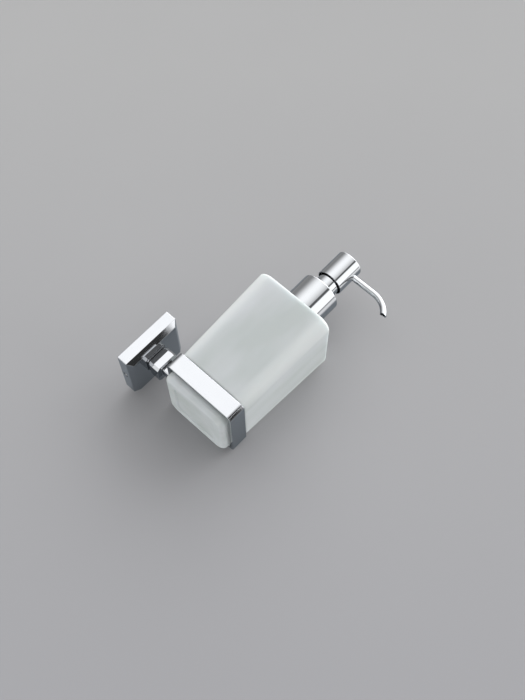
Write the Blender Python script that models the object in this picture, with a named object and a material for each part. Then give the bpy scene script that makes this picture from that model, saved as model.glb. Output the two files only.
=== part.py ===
"""Wall mounted soap dispenser: square holder, frosted bottle and push-down pump.

Units are metres and +Z is up. The wall is the plane Y = 0, the dispenser stands out
from it along -Y, and the origin is the centre of the square rose's back.
"""
import math

import bmesh
import bpy
from mathutils import Matrix, Vector

# ---------------------------------------------------------------- driving dimensions
GAP = 0.0003                   # clearance between pieces that touch
ROUND_STEPS = 40               # facets round a large turned piece
SMALL_STEPS = 24               # facets round a small turned piece

# Wall rose: a square cover with a bevelled front.
ROSE_SIDE = 0.050
ROSE_EDGE_DEPTH = 0.0089       # straight part of its sides
ROSE_BEVEL_DEPTH = 0.0036
ROSE_BEVEL_INSET = 0.0038
ROSE_SHEET = 0.002
ROSE_CORNER = 0.0005

# Bracket that is screwed to the wall inside the rose.
BRACKET_SHEET = 0.0018
BRACKET_LIP = 0.0075           # how far the two lips stand out from the wall
BRACKET_PLAY = 0.0045          # between a lip and the rose's side wall
BRACKET_END_PLAY = 0.003       # between its ends and the rose's side wall
BRACKET_HOLE_EDGE = 0.0055     # from its ends to the middle of a screw hole
BRACKET_HOLE_RADIUS = 0.0023

# Set screw in the rose's underside.
GRUB_RADIUS = 0.002
GRUB_FROM_WALL = 0.004
GRUB_SOCKET_RADIUS = 0.00115   # centre to corner of the hexagon
GRUB_SOCKET_DEPTH = 0.0025
GRUB_SINK = 0.0004             # how far it lies under the rose's surface
GRUB_CHAMFER = 0.0004

# Post between rose and ring.
POST_SIDE = 0.019
POST_BEVEL = 0.002
POST_LENGTH = 0.0102
POST_FOOT_LENGTH = 0.0012
POST_FOOT_INSET = 0.0009

# Square ring and its stub.
RING_SIDE = 0.0628
RING_HEIGHT = 0.014
RING_WALL = 0.0028
RING_CORNER = 0.0041
RING_INNER_CORNER = 0.0030
STUB_SIDE = 0.0104
STUB_BEVEL = 0.0008
STUB_LENGTH = 0.0095

# Bolt that pulls rose, post and ring together.
BOLT_RADIUS = 0.0025
BOLT_HEAD_RADIUS = 0.0043
BOLT_HEAD_HEIGHT = 0.003
BOLT_SOCKET_RADIUS = 0.0023    # centre to corner of the hexagon
BOLT_SOCKET_DEPTH = 0.002
BOLT_GRIP = 0.0060             # length of the bolt inside the stub
BOLT_HEAD_CHAMFER = 0.0003
BOLT_TIP_CHAMFER = 0.0006
WASHER_RADIUS = 0.0055
WASHER_SHEET = 0.001

# Bottle.
BOTTLE_CLEARANCE = 0.00035     # each side, inside the ring
BOTTLE_SEAT_REVEAL = 0.00035   # how far the ring's side stands proud of the glass
BOTTLE_FLARE = 0.0029          # each side, from the ring up to the shoulder
BOTTLE_BODY_HEIGHT = 0.088
BOTTLE_FOOT_DROP = 0.0067      # how far the foot shows below the ring
BOTTLE_FOOT_ROUND = 0.0040
BOTTLE_SEAT_ROUND = 0.0012
BOTTLE_SHOULDER_ROUND = 0.0028
BOTTLE_CORNER_TOP = 0.0097
BOTTLE_CORNER_SEAT = 0.0108
BOTTLE_CORNER_FOOT = 0.0080
BOTTLE_CORNER_TAPER = 0.5      # corner radius lost per unit that an edge round comes in
BOTTLE_WALL = 0.0036
BOTTLE_CORNER_WALL = 0.0015    # outer corner radius less the inner one
BOTTLE_FLOOR = 0.0065
BOTTLE_INNER_SHOULDER = 0.003  # cut corner under the shoulder
BOTTLE_INNER_FOOT = 0.002      # cut corner round the floor
BOTTLE_PUNT_DEPTH = 0.0012
BOTTLE_PUNT_INSET = 0.0085     # from the foot's side to the punt's edge
BOTTLE_PUNT_CORNER = 0.0048
BOTTLE_NECK_RADIUS = 0.0135
BOTTLE_NECK_HEIGHT = 0.014
BOTTLE_NECK_WALL = 0.0027
BOTTLE_NECK_FILLET = 0.0012
BOTTLE_RIM_CHAMFER = 0.0006

# Chrome cap and its plastic screw insert.
COLLAR_HEIGHT = 0.0293
COLLAR_SHEET = 0.001
COLLAR_TOP_ROUND = 0.0007
INSERT_SIDE_WALL = 0.0013
INSERT_TOP = 0.0017
INSERT_RISE = 0.0006           # its lower edge above the cap's
GASKET_HEIGHT = 0.0013
GASKET_INSET = 0.0002          # inside the neck's inner and outer edge
FLANGE_HEIGHT = 0.0012
FLANGE_INSET = 0.0001          # inside the neck's outer edge

# Pump cylinder.
CYLINDER_RADIUS = 0.0062
CYLINDER_WALL = 0.0010
CYLINDER_BELOW_RIM = 0.0415    # rim of the bottle down to the spring's seat
CYLINDER_ABOVE_INSERT = 0.0015
CYLINDER_CONE_START = 0.002    # the outer cone under the spring's seat
CYLINDER_CONE_END = 0.004
VALVE_BORE = 0.0030
VALVE_WALL = 0.0012
VALVE_LENGTH = 0.0048
VALVE_PORT = 0.0015
VALVE_PORT_LENGTH = 0.0012
SOCKET_LENGTH = 0.0065
CAP_TOP = 0.0017
CAP_SPIGOT = 0.0036
BALL_PLAY = 0.0006             # between the ball and the valve's bore

# Dip tube.
TUBE_RADIUS = 0.0023
TUBE_WALL = 0.0008
TUBE_FOOT_SPACE = 0.0025       # above the bottle's floor

# Plunger.
ROD_RADIUS = 0.0031
ROD_BORE = 0.0014
ROD_FLANGE_PLAY = 0.0007       # between its flanges and the cylinder's bore
ROD_FLANGE = 0.0010
ROD_TAIL = 0.0025
ROD_TAIL_PLAY = 0.00055        # between its tail and the spring
SEAL_HEIGHT = 0.0058
SEAL_LIP = 0.0014
SEAL_CONE = 0.0006             # length of the cone between a lip and the waist
SEAL_WAIST = 0.6               # share of the seal's thickness left at its waist
SPRING_WIRE = 0.00045          # radius of the wire
SPRING_PLAY = 0.00065          # between the spring and the cylinder's bore
SPRING_TURNS = 9

# Sleeve that the head slides over.
SLEEVE_PLAY = 0.0015           # between the sleeve and the head's inside
SLEEVE_SHEET = 0.001
SLEEVE_FLANGE_REACH = 0.00285
SLEEVE_FLANGE = 0.0015
SLEEVE_INTO_HEAD = 0.0018

# Head.
HEAD_RADIUS = 0.01125
HEAD_HEIGHT = 0.0242
HEAD_SHEET = 0.0006
HEAD_TOP_ROUND = 0.0007
STROKE = 0.009
HEAD_SPARE = 0.0007            # left between head and collar when it is pressed down
CORE_HEIGHT = 0.0108
CORE_ROD_GRIP = 0.0017
OUTLET_BALL_RADIUS = 0.0020
OUTLET_BALL_PLAY = 0.0004      # between the ball and its chamber
OUTLET_CHAMBER_HEIGHT = 0.0060

# Spout.
SPOUT_RADIUS = 0.0025
SPOUT_WALL = 0.0007
SPOUT_BELOW_TOP = 0.0082       # its middle line, below the top of the head
SPOUT_STRAIGHT = 0.0312        # pump axis to the start of the bend
SPOUT_BEND_RADIUS = 0.020
SPOUT_BEND = math.radians(58.0)
SPOUT_GRIP = 0.0045            # length held in the head's core
CUT_SPARE = 0.002              # how far a cutter reaches past the material

# ---------------------------------------------------------------- derived places
ROSE_DEPTH = ROSE_EDGE_DEPTH + ROSE_BEVEL_DEPTH
ROSE_INNER_HALF = ROSE_SIDE / 2 - ROSE_SHEET
BRACKET_HALF = ROSE_INNER_HALF - BRACKET_PLAY
BRACKET_END = ROSE_INNER_HALF - BRACKET_END_PLAY
POST_START = ROSE_DEPTH + GAP
POST_END = POST_START + POST_LENGTH
STUB_START = POST_END + GAP
RING_BACK = STUB_START + STUB_LENGTH - GAP
PUMP_AXIS = -(RING_BACK + RING_SIDE / 2)
RING_TOP = RING_HEIGHT / 2

FOOT_HALF = RING_SIDE / 2 - RING_WALL - BOTTLE_CLEARANCE
SEAT_HALF = RING_SIDE / 2 - BOTTLE_SEAT_REVEAL
SHOULDER_HALF = SEAT_HALF + BOTTLE_FLARE
BOTTLE_BOTTOM = -RING_HEIGHT / 2 - BOTTLE_FOOT_DROP
BOTTLE_INNER_FLOOR = BOTTLE_BOTTOM + BOTTLE_FLOOR
SEAT_Z = RING_TOP + GAP
SHOULDER_Z = SEAT_Z + BOTTLE_BODY_HEIGHT
RIM_Z = SHOULDER_Z + BOTTLE_NECK_HEIGHT

GASKET_Z = RIM_Z + GAP
FLANGE_Z = GASKET_Z + GASKET_HEIGHT + GAP
FLANGE_TOP = FLANGE_Z + FLANGE_HEIGHT
INSERT_TOP_Z = FLANGE_TOP + GAP
CYLINDER_TOP = INSERT_TOP_Z + INSERT_TOP + CYLINDER_ABOVE_INSERT
SPRING_SEAT = RIM_Z - CYLINDER_BELOW_RIM
BALL_SEAT_TOP = SPRING_SEAT - VALVE_LENGTH
BALL_SEAT_BOTTOM = BALL_SEAT_TOP - (VALVE_BORE - VALVE_PORT)
SOCKET_TOP = BALL_SEAT_BOTTOM - VALVE_PORT_LENGTH
SOCKET_MOUTH = SOCKET_TOP - SOCKET_LENGTH
CYLINDER_BORE = CYLINDER_RADIUS - CYLINDER_WALL
VALVE_RADIUS = VALVE_BORE + VALVE_WALL
BALL_RADIUS = VALVE_BORE - BALL_PLAY
TUBE_BORE = TUBE_RADIUS - TUBE_WALL

BOTTLE_MOUTH_RADIUS = BOTTLE_NECK_RADIUS - BOTTLE_NECK_WALL
INSERT_BORE = BOTTLE_NECK_RADIUS + GAP
INSERT_RADIUS = INSERT_BORE + INSERT_SIDE_WALL
COLLAR_RADIUS = INSERT_RADIUS + GAP + COLLAR_SHEET
COLLAR_BOTTOM = SHOULDER_Z + GAP
COLLAR_TOP = COLLAR_BOTTOM + COLLAR_HEIGHT
SLEEVE_RADIUS = HEAD_RADIUS - HEAD_SHEET - SLEEVE_PLAY
SLEEVE_FLANGE_RADIUS = SLEEVE_RADIUS + SLEEVE_FLANGE_REACH
SLEEVE_FLANGE_TOP = COLLAR_TOP - COLLAR_SHEET - GAP
HEAD_RIM = COLLAR_TOP + STROKE + HEAD_SPARE
HEAD_TOP = HEAD_RIM + HEAD_HEIGHT
SLEEVE_TOP = HEAD_RIM + SLEEVE_INTO_HEAD
CORE_RADIUS = HEAD_RADIUS - HEAD_SHEET - GAP
CORE_TOP = HEAD_TOP - HEAD_SHEET - GAP
CORE_BOTTOM = CORE_TOP - CORE_HEIGHT
ROD_TOP = CORE_BOTTOM + CORE_ROD_GRIP
SPOUT_Z = HEAD_TOP - SPOUT_BELOW_TOP
SPOUT_START = CORE_RADIUS - SPOUT_GRIP
SPOUT_BORE = SPOUT_RADIUS - SPOUT_WALL
OUTLET_CHAMBER_RADIUS = OUTLET_BALL_RADIUS + OUTLET_BALL_PLAY

CAP_BOTTOM = CYLINDER_TOP + GAP - CAP_SPIGOT
ROD_FLANGE_TOP = CAP_BOTTOM - GAP
SEAL_TOP = ROD_FLANGE_TOP - ROD_FLANGE - GAP
SEAL_BOTTOM = SEAL_TOP - SEAL_HEIGHT
SPRING_TOP = SEAL_BOTTOM - GAP - ROD_FLANGE - GAP
SPRING_RADIUS = CYLINDER_BORE - SPRING_PLAY - SPRING_WIRE
ROD_FLANGE_RADIUS = CYLINDER_BORE - ROD_FLANGE_PLAY
ROD_TAIL_RADIUS = SPRING_RADIUS - SPRING_WIRE - ROD_TAIL_PLAY

# ---------------------------------------------------------------- materials
CHROME = ("polished chrome", (0.80, 0.81, 0.82), 0.06, 1.0)
STEEL = ("zinc plated steel", (0.52, 0.53, 0.54), 0.35, 1.0)
STAINLESS = ("stainless steel", (0.62, 0.62, 0.61), 0.25, 1.0)
FROSTED = ("frosted glass", (0.68, 0.72, 0.72), 0.60, 0.0)
WHITE_PLASTIC = ("white plastic", (0.82, 0.82, 0.80), 0.45, 0.0)
CLEAR_PLASTIC = ("natural plastic", (0.70, 0.72, 0.71), 0.40, 0.0)
SILICONE = ("grey silicone", (0.30, 0.31, 0.32), 0.70, 0.0)


def material(look):
    """The Principled material for a (name, colour, roughness, metallic) look."""
    name, colour, roughness, metallic = look
    made = bpy.data.materials.get(name)
    if made is None:
        made = bpy.data.materials.new(name)
        made.use_nodes = True
        shader = made.node_tree.nodes["Principled BSDF"]
        shader.inputs["Base Color"].default_value = (*colour, 1.0)
        shader.inputs["Roughness"].default_value = roughness
        shader.inputs["Metallic"].default_value = metallic
    return made


def clear_scene():
    """Remove every object the scene starts with."""
    for old in list(bpy.data.objects):
        bpy.data.objects.remove(old, do_unlink=True)


def place(name, bm, look, parent=None, smooth=True):
    """Turn a bmesh into a named object with outward faces, under its parent empty."""
    bmesh.ops.recalc_face_normals(bm, faces=bm.faces)
    mesh = bpy.data.meshes.new(name)
    bm.to_mesh(mesh)
    bm.free()
    if smooth:
        mesh.shade_smooth()
        mesh.set_sharp_from_angle(angle=math.radians(35.0))
    made = bpy.data.objects.new(name, mesh)
    bpy.context.scene.collection.objects.link(made)
    if look is not None:
        mesh.materials.append(material(look))
    if parent is not None:
        made.parent = parent
    return made


def empty(name, location, parent=None):
    """An empty that stands on a joint's axis and carries the pieces that move on it."""
    made = bpy.data.objects.new(name, None)
    bpy.context.scene.collection.objects.link(made)
    made.location = location
    made.parent = parent
    return made


def cut(target, cutter, operation="DIFFERENCE"):
    """Subtract a cutter from a piece, or join it on, with an exact Boolean."""
    cutter.hide_render = True
    cutter.display_type = "WIRE"
    change = target.modifiers.new(cutter.name, "BOOLEAN")
    change.operation = operation
    change.solver = "EXACT"
    change.object = cutter


# ---------------------------------------------------------------- shapes
def turned(profile, steps):
    """Spin a closed (radius, height) outline round Z; points at radius 0 become poles."""
    bm = bmesh.new()
    points = [bm.verts.new((radius, 0.0, height)) for radius, height in profile]
    on_axis = [radius < 1e-9 for radius, height in profile]
    edges = []
    for index, point in enumerate(points):
        after = (index + 1) % len(points)
        if not (on_axis[index] and on_axis[after]):
            edges.append(bm.edges.new((point, points[after])))
    bmesh.ops.spin(bm, geom=points + edges, cent=(0, 0, 0), axis=(0, 0, 1), angle=math.tau,
                   steps=steps, use_merge=True)
    bmesh.ops.remove_doubles(bm, verts=bm.verts, dist=1e-6)
    return bm


def lofted(loops, closed=False):
    """Skin loops that have the same number of points; the ends are capped or joined."""
    bm = bmesh.new()
    rows = [[bm.verts.new(point) for point in loop] for loop in loops]
    pairs = list(zip(rows, rows[1:]))
    if closed:
        pairs.append((rows[-1], rows[0]))
    for lower, upper in pairs:
        for index in range(len(lower)):
            after = (index + 1) % len(lower)
            bm.faces.new((lower[index], lower[after], upper[after], upper[index]))
    if not closed:
        bm.faces.new(rows[0])
        bm.faces.new(rows[-1])
    return bm


def square_outline(half, corner, steps=3):
    """(u, v) points of a square with round corners; corner = half makes it a circle."""
    points = []
    middle = half - corner
    for quarter in range(4):
        for step in range(steps):
            angle = math.radians(90.0 * (quarter + (step + 0.5) / steps))
            sign_u = 1.0 if quarter in (0, 3) else -1.0
            sign_v = 1.0 if quarter in (0, 1) else -1.0
            u = sign_u * middle + corner * math.cos(angle)
            v = sign_v * middle + corner * math.sin(angle)
            points.append((u, v))
    return points


def bevelled_outline(half, bevel):
    """(u, v) points of a square with cut corners."""
    flat = half - bevel
    return [(half, -flat), (half, flat), (flat, half), (-flat, half),
            (-half, flat), (-half, -flat), (-flat, -half), (flat, -half)]


def across_wall(outline, distance):
    """Stand an outline parallel to the wall at a distance from it."""
    return [Vector((u, -distance, v)) for u, v in outline]


def level(outline, height):
    """Lay an outline flat at a height."""
    return [Vector((u, v, height)) for u, v in outline]


def arc(centre, radius, first_deg, last_deg, steps):
    """(r, z) points along an arc, both ends included."""
    points = []
    for step in range(steps + 1):
        angle = math.radians(first_deg + (last_deg - first_deg) * step / steps)
        points.append((centre[0] + radius * math.cos(angle), centre[1] + radius * math.sin(angle)))
    return points


def rod_tool(name, radius, start, end, steps=SMALL_STEPS):
    """A cylinder between two points, used as a cutter."""
    start, end = Vector(start), Vector(end)
    along = end - start
    bm = bmesh.new()
    bmesh.ops.create_cone(bm, cap_ends=True, segments=steps, radius1=radius, radius2=radius,
                          depth=along.length)
    turn = Vector((0, 0, 1)).rotation_difference(along.normalized()).to_matrix().to_4x4()
    bmesh.ops.transform(bm, verts=bm.verts, matrix=Matrix.Translation((start + end) / 2) @ turn)
    return place(name, bm, None, smooth=False)


def swept_tube(path, directions, outer, inner, steps):
    """A hollow tube along a path in the YZ plane, with its last end cut level."""
    side = Vector((1, 0, 0))
    outlines = []
    for point, direction in zip(path, directions):
        up = side.cross(direction).normalized()
        rings = []
        for radius in (outer, inner):
            ring = []
            for step in range(steps):
                angle = math.tau * step / steps
                offset = radius * (math.cos(angle) * side + math.sin(angle) * up)
                ring.append(point + offset)
            rings.append(ring)
        outlines.append(rings)
    end, along = path[-1], directions[-1]
    for ring in outlines[-1]:
        for index, point in enumerate(ring):
            ring[index] = point + along * ((end.z - point.z) / along.z)
    loops = [rings[0] for rings in outlines] + [rings[1] for rings in reversed(outlines)]
    return lofted(loops, closed=True)


# ---------------------------------------------------------------- wall side
def make_bracket():
    """Plate with a lip along its top and bottom edge and two screw holes."""
    half = BRACKET_HALF
    lip = half - BRACKET_SHEET
    outline = [(0, -half), (BRACKET_LIP, -half), (BRACKET_LIP, -lip), (BRACKET_SHEET, -lip),
               (BRACKET_SHEET, lip), (BRACKET_LIP, lip), (BRACKET_LIP, half), (0, half)]
    ends = []
    for x in (-BRACKET_END, BRACKET_END):
        ends.append([Vector((x, -distance, z)) for distance, z in outline])
    bracket = place("wall_bracket", lofted(ends), STEEL, smooth=False)
    for name, side in (("left", -1), ("right", 1)):
        x = side * (BRACKET_END - BRACKET_HOLE_EDGE)
        cut(bracket, rod_tool(f"bracket_hole_{name}", BRACKET_HOLE_RADIUS,
                              (x, CUT_SPARE, 0), (x, -BRACKET_SHEET - CUT_SPARE, 0)))
    return bracket


def make_rose():
    """Square cover, open at the wall, with a bevelled front and a hole for the bolt."""
    half = ROSE_SIDE / 2
    front_half = half - ROSE_BEVEL_INSET
    bevel_run = math.hypot(ROSE_BEVEL_DEPTH, ROSE_BEVEL_INSET)
    slope_shift = ROSE_SHEET * (bevel_run - ROSE_BEVEL_INSET) / ROSE_BEVEL_DEPTH
    inner_front = ROSE_DEPTH - ROSE_SHEET
    inner_edge = inner_front - (ROSE_BEVEL_DEPTH - slope_shift)
    inner_inset = ROSE_BEVEL_INSET * (1 - slope_shift / ROSE_BEVEL_DEPTH)
    loops = [
        across_wall(square_outline(ROSE_INNER_HALF - inner_inset, ROSE_CORNER), inner_front),
        across_wall(square_outline(ROSE_INNER_HALF, ROSE_CORNER), inner_edge),
        across_wall(square_outline(ROSE_INNER_HALF, ROSE_CORNER), 0.0),
        across_wall(square_outline(half, ROSE_CORNER), 0.0),
        across_wall(square_outline(half, ROSE_CORNER), ROSE_EDGE_DEPTH),
        across_wall(square_outline(front_half, ROSE_CORNER), ROSE_DEPTH),
    ]
    rose = place("rose_cover", lofted(loops), CHROME)
    cut(rose, rod_tool("rose_bolt_hole", BOLT_RADIUS + GAP,
                       (0, -inner_front + CUT_SPARE, 0), (0, -ROSE_DEPTH - CUT_SPARE, 0)))
    cut(rose, rod_tool("rose_grub_hole", GRUB_RADIUS + GAP,
                       (0, -GRUB_FROM_WALL, -half - CUT_SPARE),
                       (0, -GRUB_FROM_WALL, -ROSE_INNER_HALF + CUT_SPARE / 2)))
    return rose


def make_grub_screw():
    """Set screw with a hexagon socket, ending just short of the bracket's lower lip."""
    outer_end = -ROSE_SIDE / 2 + GRUB_SINK
    tip = -BRACKET_HALF - GAP
    edge, point = GRUB_CHAMFER, 2 * GRUB_CHAMFER
    profile = [(0, outer_end), (GRUB_RADIUS - edge, outer_end), (GRUB_RADIUS, outer_end + edge),
               (GRUB_RADIUS, tip - point), (GRUB_RADIUS - point, tip), (0, tip)]
    bm = turned(profile, SMALL_STEPS)
    bmesh.ops.translate(bm, verts=bm.verts, vec=(0, -GRUB_FROM_WALL, 0))
    screw = place("rose_grub_screw", bm, STAINLESS)
    cut(screw, rod_tool("grub_socket", GRUB_SOCKET_RADIUS,
                        (0, -GRUB_FROM_WALL, outer_end - CUT_SPARE),
                        (0, -GRUB_FROM_WALL, outer_end + GRUB_SOCKET_DEPTH), steps=6))
    return screw


def make_post():
    """Square post with cut long edges, standing on a slightly smaller foot."""
    half = POST_SIDE / 2
    foot = half - POST_FOOT_INSET
    loops = [
        across_wall(bevelled_outline(foot, POST_BEVEL), POST_START),
        across_wall(bevelled_outline(foot, POST_BEVEL), POST_START + POST_FOOT_LENGTH),
        across_wall(bevelled_outline(half, POST_BEVEL), POST_START + POST_FOOT_LENGTH),
        across_wall(bevelled_outline(half, POST_BEVEL), POST_END),
    ]
    post = place("neck_post", lofted(loops), CHROME, smooth=False)
    cut(post, rod_tool("post_bolt_hole", BOLT_RADIUS + GAP,
                       (0, -POST_START + CUT_SPARE, 0), (0, -POST_END - CUT_SPARE, 0)))
    return post


def make_ring():
    """Square band with the stub that the post holds, bored from the back for the bolt."""
    half = RING_SIDE / 2
    outer = square_outline(half, RING_CORNER, 5)
    inner = square_outline(half - RING_WALL, RING_INNER_CORNER, 5)
    loops = [level(outer, -RING_TOP), level(outer, RING_TOP), level(inner, RING_TOP), level(inner, -RING_TOP)]
    band = lofted(loops, closed=True)
    bmesh.ops.translate(band, verts=band.verts, vec=(0, PUMP_AXIS, 0))
    ring = place("ring_holder", band, CHROME)
    reach = RING_BACK + RING_WALL / 2
    outline = bevelled_outline(STUB_SIDE / 2, STUB_BEVEL)
    stub_ends = [across_wall(outline, STUB_START), across_wall(outline, reach)]
    stub = place("ring_stub", lofted(stub_ends), None, smooth=False)
    cut(ring, stub, "UNION")
    cut(ring, rod_tool("stub_bolt_hole", BOLT_RADIUS + GAP,
                       (0, -STUB_START + CUT_SPARE, 0), (0, -STUB_START - BOLT_GRIP - GAP, 0)))
    return ring


def make_tie_bolt():
    """Cap screw from inside the rose, through rose and post, into the ring's stub."""
    under_head = ROSE_DEPTH - ROSE_SHEET - GAP - WASHER_SHEET - GAP
    top = under_head - BOLT_HEAD_HEIGHT
    tip = STUB_START + BOLT_GRIP
    edge, point = BOLT_HEAD_CHAMFER, BOLT_TIP_CHAMFER
    profile = [(0, top), (BOLT_HEAD_RADIUS - edge, top), (BOLT_HEAD_RADIUS, top + edge),
               (BOLT_HEAD_RADIUS, under_head), (BOLT_RADIUS, under_head),
               (BOLT_RADIUS, tip - point), (BOLT_RADIUS - point, tip), (0, tip)]
    bm = turned(profile, SMALL_STEPS)
    bmesh.ops.rotate(bm, verts=bm.verts, cent=(0, 0, 0), matrix=Matrix.Rotation(math.pi / 2, 3, "X"))
    bolt = place("tie_bolt", bm, STAINLESS)
    cut(bolt, rod_tool("tie_bolt_socket", BOLT_SOCKET_RADIUS,
                       (0, -top + CUT_SPARE, 0), (0, -top - BOLT_SOCKET_DEPTH, 0), steps=6))
    return bolt


def make_washer():
    """Plain washer between the bolt's head and the rose's front wall."""
    near = ROSE_DEPTH - ROSE_SHEET - GAP
    far = near - WASHER_SHEET
    hole = BOLT_RADIUS + GAP
    bm = turned([(hole, far), (WASHER_RADIUS, far), (WASHER_RADIUS, near), (hole, near)], SMALL_STEPS)
    bmesh.ops.rotate(bm, verts=bm.verts, cent=(0, 0, 0), matrix=Matrix.Rotation(math.pi / 2, 3, "X"))
    return place("tie_bolt_washer", bm, STEEL)


# ---------------------------------------------------------------- bottle
def make_bottle(axis):
    """Thick frosted glass, square with round corners, with a stepped foot and a round neck."""
    corner_steps = 8

    def loop(half, corner, height):
        return level(square_outline(half, corner, corner_steps), height)

    loops = []
    taper = BOTTLE_CORNER_TAPER
    punt_half = FOOT_HALF - BOTTLE_PUNT_INSET
    loops.append(loop(punt_half - BOTTLE_PUNT_DEPTH, BOTTLE_PUNT_CORNER, BOTTLE_BOTTOM + BOTTLE_PUNT_DEPTH))
    loops.append(loop(punt_half, BOTTLE_PUNT_CORNER, BOTTLE_BOTTOM))
    for r, z in arc((FOOT_HALF - BOTTLE_FOOT_ROUND, BOTTLE_BOTTOM + BOTTLE_FOOT_ROUND),
                    BOTTLE_FOOT_ROUND, -90, 0, 5):
        loops.append(loop(r, BOTTLE_CORNER_FOOT - taper * (FOOT_HALF - r), z))
    loops.append(loop(FOOT_HALF, BOTTLE_CORNER_FOOT, RING_TOP))
    loops.append(loop(FOOT_HALF + GAP, BOTTLE_CORNER_FOOT, SEAT_Z))
    for r, z in arc((SEAT_HALF - BOTTLE_SEAT_ROUND, SEAT_Z + BOTTLE_SEAT_ROUND),
                    BOTTLE_SEAT_ROUND, -90, 0, 3):
        loops.append(loop(r, BOTTLE_CORNER_SEAT - taper * (SEAT_HALF - r), z))
    for r, z in arc((SHOULDER_HALF - BOTTLE_SHOULDER_ROUND, SHOULDER_Z - BOTTLE_SHOULDER_ROUND),
                    BOTTLE_SHOULDER_ROUND, 0, 90, 5):
        loops.append(loop(r, BOTTLE_CORNER_TOP - taper * (SHOULDER_HALF - r), z))
    for r, z in arc((BOTTLE_NECK_RADIUS + BOTTLE_NECK_FILLET, SHOULDER_Z + BOTTLE_NECK_FILLET),
                    BOTTLE_NECK_FILLET, -90, -180, 3):
        loops.append(loop(r, r, z))
    rim_edge = BOTTLE_NECK_RADIUS - BOTTLE_RIM_CHAMFER
    mouth = BOTTLE_MOUTH_RADIUS
    under_shoulder = SHOULDER_Z - BOTTLE_WALL
    loops.append(loop(BOTTLE_NECK_RADIUS, BOTTLE_NECK_RADIUS, RIM_Z - BOTTLE_RIM_CHAMFER))
    loops.append(loop(rim_edge, rim_edge, RIM_Z))
    loops.append(loop(mouth, mouth, RIM_Z))
    loops.append(loop(mouth, mouth, under_shoulder + BOTTLE_CORNER_WALL))
    inner_top = SHOULDER_HALF - BOTTLE_WALL
    inner_seat = SEAT_HALF - BOTTLE_WALL
    inner_foot = FOOT_HALF - BOTTLE_WALL
    top_corner = BOTTLE_CORNER_TOP - BOTTLE_CORNER_WALL
    foot_corner = BOTTLE_CORNER_FOOT - BOTTLE_CORNER_WALL
    cut_top, cut_foot = BOTTLE_INNER_SHOULDER, BOTTLE_INNER_FOOT
    loops.append(loop(inner_top - cut_top, top_corner - taper * cut_top, under_shoulder))
    loops.append(loop(inner_top, top_corner, under_shoulder - cut_top))
    loops.append(loop(inner_seat, BOTTLE_CORNER_SEAT - BOTTLE_CORNER_WALL, SEAT_Z + BOTTLE_WALL))
    loops.append(loop(inner_foot, foot_corner, SEAT_Z))
    loops.append(loop(inner_foot, foot_corner, BOTTLE_INNER_FLOOR + cut_foot))
    loops.append(loop(inner_foot - cut_foot, foot_corner - taper * cut_foot, BOTTLE_INNER_FLOOR))
    return place("glass_bottle", lofted(loops), FROSTED, axis)


# ---------------------------------------------------------------- pump, fixed pieces
def make_gasket(axis):
    """Soft ring between the bottle's rim and the pump's flange."""
    inner, outer = BOTTLE_MOUTH_RADIUS + GASKET_INSET, BOTTLE_NECK_RADIUS - GASKET_INSET
    top = GASKET_Z + GASKET_HEIGHT
    profile = [(inner, GASKET_Z), (outer, GASKET_Z), (outer, top), (inner, top)]
    return place("bottle_gasket", turned(profile, ROUND_STEPS), SILICONE, axis)


def make_cylinder(axis):
    """Pump body: flange, bore, valve chamber with a cone seat, and dip tube socket."""
    tube_hole = TUBE_RADIUS + GAP
    flange = BOTTLE_NECK_RADIUS - FLANGE_INSET
    profile = [
        (VALVE_RADIUS, SOCKET_MOUTH), (VALVE_RADIUS, SPRING_SEAT - CYLINDER_CONE_END),
        (CYLINDER_RADIUS, SPRING_SEAT - CYLINDER_CONE_START), (CYLINDER_RADIUS, FLANGE_Z),
        (flange, FLANGE_Z), (flange, FLANGE_TOP), (CYLINDER_RADIUS, FLANGE_TOP),
        (CYLINDER_RADIUS, CYLINDER_TOP), (CYLINDER_BORE, CYLINDER_TOP), (CYLINDER_BORE, SPRING_SEAT),
        (VALVE_BORE, SPRING_SEAT), (VALVE_BORE, BALL_SEAT_TOP), (VALVE_PORT, BALL_SEAT_BOTTOM),
        (VALVE_PORT, SOCKET_TOP), (tube_hole, SOCKET_TOP), (tube_hole, SOCKET_MOUTH),
    ]
    return place("pump_cylinder", turned(profile, ROUND_STEPS), WHITE_PLASTIC, axis)


def make_cylinder_cap(axis):
    """Bush that closes the cylinder's mouth and guides the rod."""
    bore = ROD_RADIUS + GAP
    under = CYLINDER_TOP + GAP
    spigot = CYLINDER_BORE - GAP
    profile = [(bore, CAP_BOTTOM), (spigot, CAP_BOTTOM), (spigot, under), (CYLINDER_RADIUS, under),
               (CYLINDER_RADIUS, under + CAP_TOP), (bore, under + CAP_TOP)]
    return place("cylinder_cap", turned(profile, SMALL_STEPS), WHITE_PLASTIC, axis)


def make_dip_tube(axis):
    """Thin tube from the valve socket down to just above the bottle's floor."""
    top = SOCKET_TOP - GAP
    foot = BOTTLE_INNER_FLOOR + TUBE_FOOT_SPACE
    profile = [(TUBE_BORE, foot), (TUBE_RADIUS, foot), (TUBE_RADIUS, top), (TUBE_BORE, top)]
    return place("dip_tube", turned(profile, SMALL_STEPS), CLEAR_PLASTIC, axis)


def make_ball(name, radius, height, axis):
    """A steel valve ball with its centre on the pump's axis."""
    bm = bmesh.new()
    bmesh.ops.create_uvsphere(bm, u_segments=16, v_segments=10, radius=radius)
    bmesh.ops.translate(bm, verts=bm.verts, vec=(0, 0, height))
    return place(name, bm, STAINLESS, axis)


def make_inlet_ball(axis):
    """Lower valve ball, resting just clear of the cylinder's cone seat."""
    apex = BALL_SEAT_TOP - VALVE_BORE
    return make_ball("inlet_ball", BALL_RADIUS, apex + (BALL_RADIUS + GAP) * math.sqrt(2.0), axis)


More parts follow.
